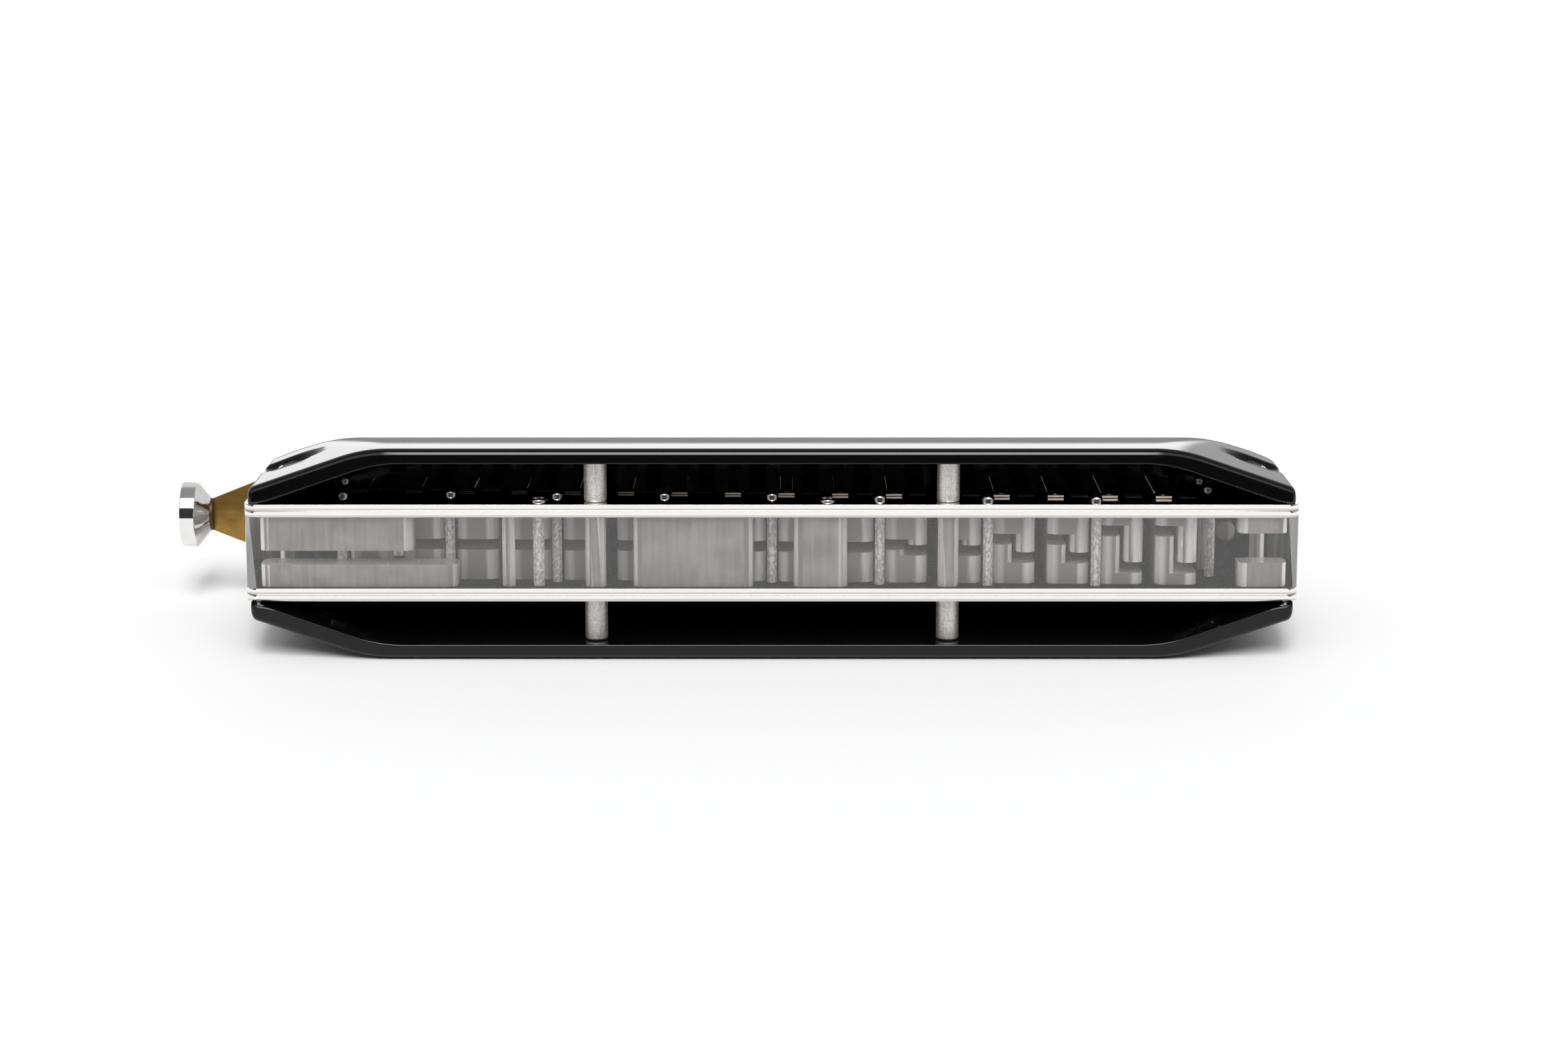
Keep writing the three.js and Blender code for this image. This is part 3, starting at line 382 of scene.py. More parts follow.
for layer, low in plate_levels.items():
    plate = block(f"{layer}_plate", (comb_low.x, comb_low.y, low), (comb_high.x, comb_high.y, low + PLATE))
    edit(plate)
    pick("edges", lambda e: spans(e, 2) > PLATE / 2)
    bpy.ops.mesh.bevel(offset=CORNER, segments=8, affect="EDGES")
    for share in GROOVE_SHARES:
        bpy.ops.mesh.select_all(action="SELECT")
        bpy.ops.mesh.bisect(plane_co=(0, 0, low + share * PLATE), plane_no=(0, 0, 1))
    pick("verts", lambda v: abs(v.co.z - low - GROOVE_SHARES[1] * PLATE) < TOUCH)
    shrink_outline(GROOVE_DEPTH)
    pick("verts", lambda v: v.co.z < low + TOUCH)
    shrink_outline(EDGE_FALL)
    pick("edges", lambda e: spans(e, 2) < TOUCH and abs(e.verts[0].co.z - low - PLATE / 2) > 0.45 * PLATE)
    bpy.ops.mesh.bevel(offset=EDGE_ROUND, segments=2, affect="EDGES")
    bpy.ops.object.mode_set(mode="OBJECT")
    slots = []
    for x, foot, length in zip(hole_xs, reed_feet, reed_lengths):
        for middle in (x - REED_OFFSET, x + REED_OFFSET):
            near = (middle - SLOT_HALF, foot, low - MM)
            far = (middle + SLOT_HALF, foot + length, low + 2 * PLATE)
            slots.append(block("slot", near, far))
    carve(plate, joined(slots, "slots"))
    done(plate, 30)
    dress(plate, silver, replaces=[f"{layer}_reed_plate"])
    plate.data.materials.append(satin)
    for face in plate.data.polygons:
        outer = abs(face.center.x) > comb_high.x - CORNER or face.center.y < comb_low.y + CORNER
        edge = outer and abs(face.normal.z) < 0.9
        face.material_index = int(edge and face.center.z < low + SATIN_SHARE * PLATE)


# Reeds: brass tongues over the slots, thick at the pad where a rivet holds each one to its plate.
# Draw reeds lie outside the outer plates and blow reeds inside the inner ones.
brass, place, shader = new_finish("reed_brass", Metallic=1.0)
file_marks = grain(place, (9.0, 0.3, 9.0), 4.0)
file_marks.mix((0.5, 0.42, 0.35), (0.72, 0.64, 0.55)).feed(shader["Base Color"])
(file_marks * 0.15 + 0.1).feed(shader["Roughness"])
bump(file_marks, 0.05, 0.02, shader)

sawn, place, shader = new_finish("sawn_brass", Metallic=1.0)
saw_lines = grain(place, (2.0, 9.0, 9.0), 4.0)
shaded_pads = saw_lines.mix((0.11, 0.09, 0.075), (0.2, 0.17, 0.15))
bright = saw_lines.mix((0.74, 0.62, 0.55), (0.94, 0.84, 0.77))
# The pads of the high notes, towards -X, are painted darker: painted shade, since they lie in shadow.
axes(place)[0].ramp(-55.0, 5.0).mix(shaded_pads, bright).feed(shader["Base Color"])
(saw_lines * 0.15 + 0.5).feed(shader["Roughness"])
bump(saw_lines, 0.2, 0.03, shader)

MODEL_LENGTH = 10 * MM
TONGUE_HALF = 1.07 * MM
TONGUE_LOW = 0.15 * MM
TONGUE_HIGH = 0.3 * MM
PAD_LENGTH = 3.2 * MM
PAD_RISE = 0.2 * MM
PAD_FOOT = 0.05 * MM
PAD_WIDENING = 0.33 * MM
PAD_EDGE = 0.03 * MM
RIVET_RADIUS = 0.7 * MM
RIVET_THICKNESS = 0.12 * MM
RIVET_EDGE = 0.04 * MM
RIVET_PLACE = (0, -1.6 * MM, 0.49 * MM)


def pull(test, shift):
    """Extrudes the faces of the open mesh that pass a test."""
    pick("faces", test)
    bpy.ops.mesh.extrude_region_move(TRANSFORM_OT_translate={"value": shift})


def in_pad(face):
    return face.calc_center_median().y < 0


def model_reed():
    """One reed on the plane z = 0 with its foot at y = 0, and its tongue along Y for the model length."""
    tongue = block("reed", (-TONGUE_HALF, -PAD_LENGTH, TONGUE_LOW), (TONGUE_HALF, MODEL_LENGTH, TONGUE_HIGH))
    edit(tongue)
    bpy.ops.mesh.bisect(plane_co=(0, 0, 0), plane_no=(0, 1, 0))
    pull(lambda f: f.normal.z > 0.5 and in_pad(f), (0, 0, PAD_RISE))
    pull(lambda f: f.normal.z < -0.5 and in_pad(f), (0, 0, -PAD_FOOT))
    pull(lambda f: f.normal.x > 0.5 and in_pad(f), (PAD_WIDENING, 0, 0))
    pull(lambda f: f.normal.x < -0.5 and in_pad(f), (-PAD_WIDENING, 0, 0))
    pick("edges", lambda e: min(v.co.z for v in e.verts) > TONGUE_HIGH + PAD_RISE / 4)
    bpy.ops.mesh.bevel(offset=PAD_EDGE, segments=1, affect="EDGES")
    bpy.ops.object.mode_set(mode="OBJECT")
    deselect()
    bpy.ops.mesh.primitive_cylinder_add(
        vertices=12, radius=RIVET_RADIUS, depth=RIVET_THICKNESS, location=RIVET_PLACE)
    rivet = bpy.context.object
    bpy.ops.object.transform_apply(location=True, rotation=True, scale=True)
    edit(rivet)
    pick("edges", lambda e: min(v.co.z for v in e.verts) > RIVET_PLACE[2] + 0.4 * RIVET_THICKNESS)
    bpy.ops.mesh.bevel(offset=RIVET_EDGE, segments=2, affect="EDGES")
    bpy.ops.object.mode_set(mode="OBJECT")
    return joined([tongue, rivet], "reed")


def copy_to(model, name, place):
    """A copy of a modelled piece, with its own mesh, moved by a function of its points."""
    piece = model.copy()
    piece.data = model.data.copy()
    piece.name = name
    bpy.context.scene.collection.objects.link(piece)
    for vertex in piece.data.vertices:
        vertex.co = place(vertex.co)
    return piece


def turn_out(piece):
    """Points the faces of a mirrored copy outwards again."""
    edit(piece)
    bpy.ops.mesh.normals_make_consistent(inside=False)
    bpy.ops.object.mode_set(mode="OBJECT")


reed = model_reed()
reed_rows = {
    "upper_draw_reeds": (plate_levels["upper_outer"] + PLATE, 1, -1),
    "upper_blow_reeds": (plate_levels["upper_inner"], -1, 1),
    "lower_blow_reeds": (plate_levels["lower_inner"] + PLATE, 1, -1),
    "lower_draw_reeds": (plate_levels["lower_outer"], -1, 1),
}
for name, (level, side, hand) in reed_rows.items():
    row = []
    for x, foot, length in zip(hole_xs, reed_feet, reed_lengths):
        row.append(copy_to(reed, "reed", lambda p: Vector((
            x + hand * REED_OFFSET + p.x,
            foot + (p.y if p.y < 0 else p.y * length / MODEL_LENGTH),
            level + side * p.z * (length / reed_lengths[0])))))
    row = joined(row, name)
    turn_out(row)
    dress(done(row, 30), brass)
    row.data.materials.append(sawn)
    for face in row.data.polygons:
        face.material_index = int(face.normal.y < -0.99)
bpy.data.objects.remove(reed)


# Valves: thin plastic strips glued over the slots of the inner reeds, on the outer faces.
# They lie on the plate and lift a little at the free end.
film, place, shader = new_finish("valve_film", Transmission_Weight=0.6, IOR=1.5)
wave = grain(place, (0.6, 0.2, 0.6))
wave.mix((0.05, 0.05, 0.05), (0.12, 0.115, 0.11)).feed(shader["Base Color"])
(wave * 0.06 + 0.06).feed(shader["Roughness"])
VALVE_HALF = 1.5 * MM
VALVE_GLUED = 1.2 * MM
VALVE_LOW = 0.02 * MM
VALVE_HIGH = 0.14 * MM
VALVE_SPARE = 0.5 * MM
VALVE_LIFT = 0.5 * MM
VALVE_BENDS = (0.2, 0.4, 0.6, 0.8)
valve = block("valve", (-VALVE_HALF, -VALVE_GLUED, VALVE_LOW), (VALVE_HALF, MODEL_LENGTH, VALVE_HIGH))
edit(valve)
for share in VALVE_BENDS:
    bpy.ops.mesh.select_all(action="SELECT")
    bpy.ops.mesh.bisect(plane_co=(0, share * MODEL_LENGTH, 0), plane_no=(0, 1, 0))
bpy.ops.object.mode_set(mode="OBJECT")
for name, level, side, hand in (
    ("upper_valves", plate_levels["upper_outer"] + PLATE, 1, 1),
    ("lower_valves", plate_levels["lower_outer"], -1, -1),
):
    row = []
    for x, foot, length in zip(hole_xs, reed_feet, reed_lengths):
        row.append(copy_to(valve, "valve", lambda p: Vector((
            x + hand * REED_OFFSET + p.x,
            foot + p.y * (length + VALVE_SPARE) / MODEL_LENGTH,
            level + side * (p.z + VALVE_LIFT * max(p.y / MODEL_LENGTH, 0) ** 2)))))
    row = joined(row, name)
    turn_out(row)
    dress(done(row, 30), film)
bpy.data.objects.remove(valve)


# Screws: bright domed screws clamp all four plates to the comb, and short ones join each pair.
# Turned steel, with threads that show through the acrylic and tips that show below the plates.
steel, place, shader = new_finish("bright_steel", Metallic=1.0)
up = axes(place)[2]
turning = grain(place, (0.3, 0.3, 8.0), 2.0)
turning.mix((0.62, 0.61, 0.6), (0.86, 0.85, 0.84)).feed(shader["Base Color"])
(turning * 0.12 + 0.06).feed(shader["Roughness"])
THREAD_START = (9.3, 9.4)
THREAD_STOP = (23.8, 23.9)
THREAD_TURNING = 14.0
TIP_SHARE = 0.35
DOME_SHARE = 0.85
SOCKET_WALL_SHARE = 0.06
threaded = up.ramp(*THREAD_START) * (1 - up.ramp(*THREAD_STOP))
wound = up * THREAD_TURNING
bump(wound.math("SINE", wound) * threaded, 0.5, 0.2, shader)


def rod(name, radius, low, high, sides=32):
    """A plain round bar on the Z axis, to be shaped."""
    deselect()
    bpy.ops.mesh.primitive_cylinder_add(
        vertices=sides, radius=radius, depth=high - low, location=(0, 0, (low + high) / 2))
    piece = bpy.context.object
    piece.name = name
    bpy.ops.object.transform_apply(location=True, rotation=True, scale=True)
    return piece


def model_screw(radius, length, head_radius, head_high, socket):
    """A screw on the Z axis with its seat at z = 0: a blunt shaft, and a domed head with a socket."""
    screw = rod("screw", radius, -length, 0, 24)
    edit(screw)
    pick("edges", lambda e: max(v.co.z for v in e.verts) < -length * 0.99)
    bpy.ops.mesh.bevel(offset=radius * TIP_SHARE, segments=2, affect="EDGES")
    pull(lambda f: f.normal.z > 0.9 and f.calc_center_median().z > -radius, (0, 0, 0))
    grow = head_radius / radius
    bpy.ops.transform.resize(value=(grow, grow, 1), center_override=(0, 0, 0))
    bpy.ops.mesh.extrude_region_move(TRANSFORM_OT_translate={"value": (0, 0, head_high)})
    pick("edges", lambda e: min(v.co.z for v in e.verts) > head_high * 0.9)
    bpy.ops.mesh.bevel(offset=head_high * DOME_SHARE, segments=8, affect="EDGES")
    pick("faces", lambda f: f.normal.z > 0.99 and f.calc_center_median().z > head_high * 0.9)
    bpy.ops.mesh.inset(thickness=head_radius * SOCKET_WALL_SHARE)
    bpy.ops.mesh.extrude_region_move(TRANSFORM_OT_translate={"value": (0, 0, -socket)})
    bpy.ops.object.mode_set(mode="OBJECT")
    return screw


def set_screws(model, names, place):
    """Copies a modelled screw to each of its nodes, and removes the model."""
    for name in names:
        low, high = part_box(name)
        middle = (low + high) / 2
        screw = copy_to(model, f"{name}_turned", lambda p: place(middle, p))
        turn_out(screw)
        dress(done(screw, 40), steel, replaces=[name])
    bpy.data.objects.remove(model)


upper_seat = plate_levels["upper_outer"] + PLATE
lower_seat = plate_levels["lower_outer"]
set_screws(
    model_screw(0.75 * MM, length=17.7 * MM, head_radius=1.2 * MM, head_high=1.2 * MM, socket=0.3 * MM),
    [*(f"plate_screw_{i}" for i in range(1, 10)), "front_plate_screw_left", "front_plate_screw_right"],
    lambda middle, p: Vector((middle.x + p.x, middle.y + p.y, upper_seat + p.z)))
for side, level, name in ((1, upper_seat, "upper_short_screw"), (-1, lower_seat, "lower_short_screw")):
    set_screws(
        model_screw(0.9 * MM, length=3.4 * MM, head_radius=1.5 * MM, head_high=0.5 * MM, socket=0.2 * MM),
        [f"{name}_1", f"{name}_2"],
        lambda middle, p: Vector((middle.x + p.x, middle.y + p.y, level + side * p.z)))


# Posts: four brushed nickel pillars under the rear rims of the covers.
# Each pair is screwed on the ends of a stud that passes through the plates and the comb.
nickel, place, shader = new_finish("brushed_nickel", Metallic=1.0)
weave = grain(place, (7.0, 7.0, 1.5), 4.0)
rings = grain(place, (0.5, 0.5, 9.0), 3.0)
streak = grain(place, (1.1, 1.1, 0.05), 2.0)
worn = (weave * 0.45 + rings * 0.3 + streak * 0.25).ramp(0.3, 0.65)
worn.mix((0.42, 0.4, 0.37), (0.93, 0.9, 0.86)).feed(shader["Base Color"])
(weave * 0.2 + 0.42).feed(shader["Roughness"])
bump(weave + rings, 0.4, 0.06, shader)

POST_RADIUS = 2 * MM
POST_HEIGHT = 7.4 * MM
POST_ROUND = 0.45 * MM
POST_EDGE = 0.08 * MM
STUD_RADIUS = 1.2 * MM
STUD_REACH = 4 * MM
STUD_EDGE = 0.3 * MM


def model_post(bored):
    """A pillar from z = 0 up, rounded at its foot and bored for the stud from below (-1) or above (1)."""
    post = rod("post", POST_RADIUS, 0, POST_HEIGHT, 48)
    edit(post)
    pick("edges", lambda e: max(v.co.z for v in e.verts) < MM)
    bpy.ops.mesh.bevel(offset=POST_ROUND, segments=5, affect="EDGES")
    pick("edges", lambda e: min(v.co.z for v in e.verts) > POST_HEIGHT - MM)
    bpy.ops.mesh.bevel(offset=POST_EDGE, segments=2, affect="EDGES")
    pick("faces", lambda f: f.normal.z * bored > 0.99)
    edge = POST_ROUND if bored < 0 else POST_EDGE
    bpy.ops.mesh.inset(thickness=POST_RADIUS - edge - STUD_RADIUS)
    bpy.ops.mesh.extrude_region_move(TRANSFORM_OT_translate={"value": (0, 0, -bored * STUD_REACH)})
    bpy.ops.object.mode_set(mode="OBJECT")
    return post


for foot, bored, row in ((upper_seat, -1, "upper_post"), (lower_seat - POST_HEIGHT, 1, "lower_post")):
    post = model_post(bored)
    for end in ("left", "right"):
        low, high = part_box(f"{row}_{end}")
        middle = (low + high) / 2
        pillar = copy_to(post, f"{row}_{end}_brushed", lambda p: Vector((
            middle.x + p.x, middle.y + p.y, foot + p.z)))
        dress(done(pillar, 40), nickel, replaces=[f"{row}_{end}"])
    bpy.data.objects.remove(post)

for end in ("left", "right"):
    low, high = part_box(f"post_stud_{end}")
    middle = (low + high) / 2
    stud = rod("stud", STUD_RADIUS, low.z, high.z)
    edit(stud)
    pick("edges", lambda e: spans(e, 2) < POST_HEIGHT)
    bpy.ops.mesh.bevel(offset=STUD_EDGE, segments=2, affect="EDGES")
    bpy.ops.mesh.select_all(action="SELECT")
    bpy.ops.transform.translate(value=(middle.x, middle.y, 0))
    done(stud, 40).name = f"post_stud_{end}_turned"
    dress(stud, steel, replaces=[f"post_stud_{end}"])


# Covers: two shells of cast metal in satin black lacquer, open at the rear under a thick rim.
# Each falls towards its nose, slopes down at the ends and has a pocket there for its bolt.
# The sizes in this section are in millimetres, with heights taken from the cover's seat.
lacquer, place, shader = new_finish("black_lacquer", IOR=1.39)
speckle = grain(place, (3.0, 3.0, 3.0), 4.0)
smear = grain(place, (0.06, 0.3, 0.3), 3.0)
speckle.mix((0.0012, 0.0012, 0.0016), (0.004, 0.004, 0.0045)).feed(shader["Base Color"])
(smear * 0.04 + speckle * 0.03 + 0.04).feed(shader["Roughness"])
bump(grain(place, (1.2, 1.2, 1.2), 3.0), 0.04, 0.05, shader)

COVER_END = 91.5
END_ROUND = 0.9
COVER_REAR = -20.5
REAR_CORNER = 1
COVER_FRONT = 12.4
FRONT_CORNER = 6
COVER_HEIGHT = 10.05
COVER_FALL = 0.0524
COVER_CROWN = 0.0017
RIM_LEAN = 0.14
BROW = 1.2
BROW_SHARE = 0.5
BROW_BACK = 1
END_HEIGHT = 3
END_RISE = math.tan(math.radians(19))
HIP = 1.5
NOSE = 6
NOSE_SHARE = 0.8
NOSE_BACK = 3
NOSE_START = math.radians(82)
WALL = 1.6
LEAST_NOSE = 0.3
RIM_HEIGHT = 7.4
RIM_DEPTH = 7.5
RIM_GAP = 0.5
RIM_TURN = 0.3
RIM_BLEND = 0.8
RIM_STEP = 0.2
FOOT_REAR = -19.1
LEDGE_CUT = 0.3
LEDGE_RISE = 0.2
CEILING_STEPS = 18
RIM_END = 90.5
BOLT_X = 86.7
BOLT_Y = -2
POCKET_RADIUS = 2.9
POCKET_SLOPE = 1.4
POCKET_FLOOR = 2.5
POCKET_FOOT = 0.2
POCKET_LIP = 0.8
END_WALL_SLOPE = 4


def soft_min(a, b, width):
    """The lower of two heights, with a rounded crossing."""
    overlap = max(width - abs(a - b), 0) / width
    return min(a, b) - overlap * overlap * width / 4


def stand_back(x, radius):
    """How far a rounded corner stands back from its end at a place along the cover."""
    over = max(abs(x) - (COVER_END - radius), 0)
    return radius - math.sqrt(max(radius * radius - over * over, 0))


def beyond_pocket(x, y):
    """Distance from the wall of the bolt's pocket, which is open towards the end."""
    inward = min(abs(x) - BOLT_X, 0)
    return math.hypot(inward, y - BOLT_Y) - POCKET_RADIUS


def crown_height(y):
    """Height of the middle of the cover, which falls faster towards the nose."""
    depth = y - COVER_REAR
    return COVER_HEIGHT - COVER_FALL * depth - COVER_CROWN * depth * depth


def top_height(x, y):
    """Height of the outside, with the end slopes and the pockets."""
    slope = END_HEIGHT + END_RISE * (COVER_END - abs(x))
    height = soft_min(crown_height(y), slope, HIP) - stand_back(x, END_ROUND)
    beyond = beyond_pocket(x, y)
    wall = (beyond + math.hypot(beyond, POCKET_FOOT)) / 2
    return soft_min(height, POCKET_FLOOR + wall * POCKET_SLOPE, POCKET_LIP)


def ceiling_height(x, y):
    """Height of the inside, which stays a wall's thickness within the outside."""
    inset = COVER_END - WALL - abs(x)
    roof = soft_min(crown_height(y) - WALL, END_RISE * inset + END_HEIGHT - WALL, HIP)
    return max(min(roof, (beyond_pocket(x, y) - WALL) * POCKET_SLOPE, inset * END_WALL_SLOPE), 0)


def arc(across, up, radius, start, stop, count):
    """Points round a centre from one angle to another, in degrees."""
    angles = [math.radians(start + (stop - start) * i / count) for i in range(count + 1)]
    return [(across + radius * math.cos(a), up + radius * math.sin(a)) for a in angles]


def blend_list(low, high, shares):
    """The values at some shares of the way from low to high."""
    return [low + (high - low) * share for share in shares]


# The points of the top lie close together across the pockets.
TOP_YS = [5.2, 4.2, *steps(3.4, -0.3, 36), *steps(-8.5, -2, 5), -18.4]
TOP_FRONT = 6.4
TOP_REAR = -19.6
TOP_SHARES = [(TOP_FRONT - y) / (TOP_FRONT - TOP_REAR) for y in TOP_YS]


def cover_section(x):
    """The outline of the cover at one place along it: outside from the nose to the rim, then inside."""
    front = COVER_FRONT - stand_back(x, FRONT_CORNER)
    rear = COVER_REAR + stand_back(x, REAR_CORNER)
    nose = min(NOSE, NOSE_SHARE * top_height(x, front - NOSE_BACK))
    bend = front - nose + nose * math.cos(NOSE_START)
    middle = top_height(x, bend) - nose * math.sin(NOSE_START)
    brow = min(BROW, BROW_SHARE * top_height(x, rear + BROW_BACK))
    lip = top_height(x, rear + brow)
    foot = max(soft_min(RIM_HEIGHT, END_RISE * (RIM_END - abs(x)), HIP), 0)
    rim = -soft_min(-foot, -RIM_GAP, RIM_BLEND)
    outline = [(front, 0), (front, middle / 2)]
    outline += arc(front - nose, middle, nose, 0, math.degrees(NOSE_START), 10)
    outline += [(y, top_height(x, y)) for y in blend_list(bend, rear + brow, TOP_SHARES)]
    face = arc(rear + brow, lip - brow, brow, 90, 180, 12)
    face += arc(rear + RIM_TURN, rim + RIM_TURN, RIM_TURN, 180, 270, 6)
    outline += [(y + RIM_LEAN * (z - (rim + lip) / 2), z) for y, z in face]
    ledge = COVER_REAR + RIM_DEPTH
    outline += [(FOOT_REAR - RIM_STEP, rim), (FOOT_REAR, foot)]
    outline += [(ledge - LEDGE_CUT, foot), (ledge, foot + LEDGE_RISE)]
    inner_nose = max(nose - WALL, LEAST_NOSE)
    inner_front = front - WALL
    crest = ceiling_height(x, inner_front - inner_nose)
    inner_nose = min(inner_nose, crest)
    back = max(ceiling_height(x, ledge), foot + LEDGE_RISE)
    outline += [(ledge, back)]
    inner_shares = [i / CEILING_STEPS for i in range(1, CEILING_STEPS)]
    for y in blend_list(ledge, inner_front - inner_nose, inner_shares):
        outline.append((y, ceiling_height(x, y)))
    outline += arc(inner_front - inner_nose, crest - inner_nose, inner_nose, 90, 0, 5)
    outline += [(inner_front, 0), (front, 0)]
    return outline


# Sections lie close together round the rounded end and the pocket, and far apart at the middle.
END_INSETS = (0, 0.02, 0.1, 0.22, 0.4, 0.6, 0.9, 1.2)
half_stations = [COVER_END - inset for inset in END_INSETS]
half_stations += steps(90.05, -0.25, 33) + steps(81.5, -0.75, 30) + steps(58, -5, 12)
stations = [-x for x in half_stations] + half_stations[::-1]
sections = [cover_section(x) for x in stations]


def model_cover(name, level, side):
    """A grid laid on the sections, closed along its seam and capped at its ends."""
    columns = len(stations) - 1
    rows = len(sections[0]) - 1
    deselect()
    bpy.ops.mesh.primitive_grid_add(x_subdivisions=columns, y_subdivisions=rows, size=1)
    cover = bpy.context.object
    cover.name = name
    for vertex in cover.data.vertices:
        column = round((vertex.co.x + 0.5) * columns)
        y, z = sections[column][round((vertex.co.y + 0.5) * rows)]
        vertex.co = (stations[column] * MM, y * MM, level + side * z * MM)
    edit(cover)
    bpy.ops.mesh.remove_doubles(threshold=TOUCH)
    bpy.ops.mesh.dissolve_degenerate(threshold=TOUCH)
    bpy.ops.mesh.select_all(action="SELECT")
    bpy.ops.mesh.fill_holes(sides=0)
    bpy.ops.mesh.select_all(action="SELECT")
    bpy.ops.mesh.normals_make_consistent(inside=False)
    return done(cover, 60)


dress(model_cover("upper_cover_lacquered", upper_seat, 1), lacquer, replaces=["upper_cover"])
dress(model_cover("lower_cover_lacquered", lower_seat, -1), lacquer, replaces=["lower_cover"])


# Cover bolts: one at each end passes through both covers, the plates and the comb.
# Domed heads sit in the upper pockets, and hexagon nuts in the lower ones.
BOLT_RADIUS = 1.25 * MM
NUT_RADIUS = 2.3 * MM
NUT_EDGE = 0.14 * MM
bolt_seat = upper_seat + POCKET_FLOOR * MM
set_screws(
    model_screw(BOLT_RADIUS, length=23.6 * MM, head_radius=2.2 * MM, head_high=1.3 * MM, socket=0.6 * MM),
    ["cover_bolt_left", "cover_bolt_right"],
    lambda middle, p: Vector((middle.x + p.x, middle.y + p.y, bolt_seat + p.z)))
for end in ("left", "right"):
    low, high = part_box(f"cover_nut_{end}")
    middle = (low + high) / 2
    nut = rod("nut", NUT_RADIUS, low.z, high.z, 6)
    edit(nut)
    pick("edges", lambda e: True)
    bpy.ops.mesh.bevel(offset=NUT_EDGE, segments=2, affect="EDGES")
    bpy.ops.object.mode_set(mode="OBJECT")
    carve(nut, rod("bore", BOLT_RADIUS, low.z - MM, high.z + MM))
    edit(nut)
    bpy.ops.transform.translate(value=(middle.x, middle.y, 0))
    done(nut, 30).name = f"cover_nut_{end}_cut"
    dress(nut, steel, replaces=[f"cover_nut_{end}"])


# Slide: a sheet of hard brass with a window for each note, necked down at the button.
# It runs between a brass back plate and a plated guide, breath has browned it in patches, and its top is
# painted darker as painted shade.
tarnish_and_shade, place, shader = new_finish("tarnished_brass_painted_shade", Metallic=1.0)
up = axes(place)[2]
brushing = grain(place, (0.5, 9.0, 9.0), 5.0)
patches = grain(place, (0.3, 0.3, 0.5), 4.0)
# The patches are real browning, and the rise up Z darkens the top as painted shade.
stain_and_shade = (patches * 0.6 + up.ramp(10.0, 24.0) * 0.45).ramp(0.25, 0.75)
worn = brushing.mix((0.36, 0.205, 0.052), (0.52, 0.32, 0.095))
dark = brushing.mix((0.14, 0.078, 0.02), (0.26, 0.155, 0.045))
stain_and_shade.mix(worn, dark).feed(shader["Base Color"])
(brushing * 0.2 + stain_and_shade * 0.12 + 0.24).feed(shader["Roughness"])
bump(brushing, 0.25, 0.04, shader)
for node in ("slide", "slide_back_plate"):
    nodes[node].data.materials.clear()
    nodes[node].data.materials.append(tarnish_and_shade)

plated, place, shader = new_finish("plated_metal", Metallic=1.0)
haze = grain(place, (0.1, 0.4, 0.4), 3.0)
swirl = grain(place, (0.3, 5.0, 5.0), 4.0)
haze.mix((0.78, 0.77, 0.755), (0.9, 0.89, 0.875)).feed(shader["Base Color"])
(haze * 0.08 + swirl * 0.08 + 0.06).feed(shader["Roughness"])
bump(swirl, 0.06, 0.02, shader)
nodes["slide_guide"].data.materials.clear()
nodes["slide_guide"].data.materials.append(plated)


# Button: a turned and polished disc with a cone behind it, soldered to the neck of the slide.
# Fine tool rings run round it, and its outer face is dished for the finger.
BUTTON_RADIUS = 6 * MM
BUTTON_DISC = 2.7 * MM
BUTTON_CONE = 2.4 * MM
BUTTON_COLLAR = 0.5 * MM
BUTTON_EDGE = 0.16 * MM
NECK_RADIUS = 3.1 * MM
COLLAR_STEP = 0.12 * MM
DISH_RINGS = ((0.9, 0), (1.8, -0.35), (1.6, -0.15))
turned, place, shader = new_finish("turned_metal", Metallic=1.0)
tool_marks = grain(place, (14.0, 0.3, 0.3), 2.0)
shine = grain(place, (0.8, 0.8, 0.8), 2.0)
shine.mix((0.78, 0.77, 0.76), (0.92, 0.91, 0.9)).feed(shader["Base Color"])
(tool_marks * 0.05 + shine * 0.04 + 0.03).feed(shader["Roughness"])
bump(tool_marks, 0.04, 0.02, shader)


def on_rim(vertex):
    return abs(vertex.co.to_2d().length - BUTTON_RADIUS) < 10 * TOUCH


low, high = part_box("slide_button")
middle = (low + high) / 2
button = rod("button", BUTTON_RADIUS, 0, BUTTON_DISC, 96)
edit(button)
pull(lambda f: f.normal.z < -0.9, (0, 0, -BUTTON_CONE))
narrow = NECK_RADIUS / BUTTON_RADIUS
bpy.ops.transform.resize(value=(narrow, narrow, 1), center_override=(0, 0, 0))
bpy.ops.mesh.inset(thickness=COLLAR_STEP)
bpy.ops.mesh.extrude_region_move(TRANSFORM_OT_translate={"value": (0, 0, -BUTTON_COLLAR)})
pick("faces", lambda f: f.normal.z > 0.9 and f.calc_center_median().z > 0)
for inward, sunk in DISH_RINGS:
    bpy.ops.mesh.inset(thickness=inward * MM, depth=sunk * MM)
pick("edges", lambda e: on_rim(e.verts[0]) and on_rim(e.verts[1]) and spans(e, 2) < 10 * TOUCH)
bpy.ops.mesh.bevel(offset=BUTTON_EDGE, segments=3, affect="EDGES")
bpy.ops.object.mode_set(mode="OBJECT")
for vertex in button.data.vertices:
    vertex.co = Vector((low.x + BUTTON_DISC - vertex.co.z, middle.y + vertex.co.x, middle.z + vertex.co.y))
turn_out(button)
dress(done(button, 35), turned, "slide", ["slide_button"])
button.name = "slide_button_turned"

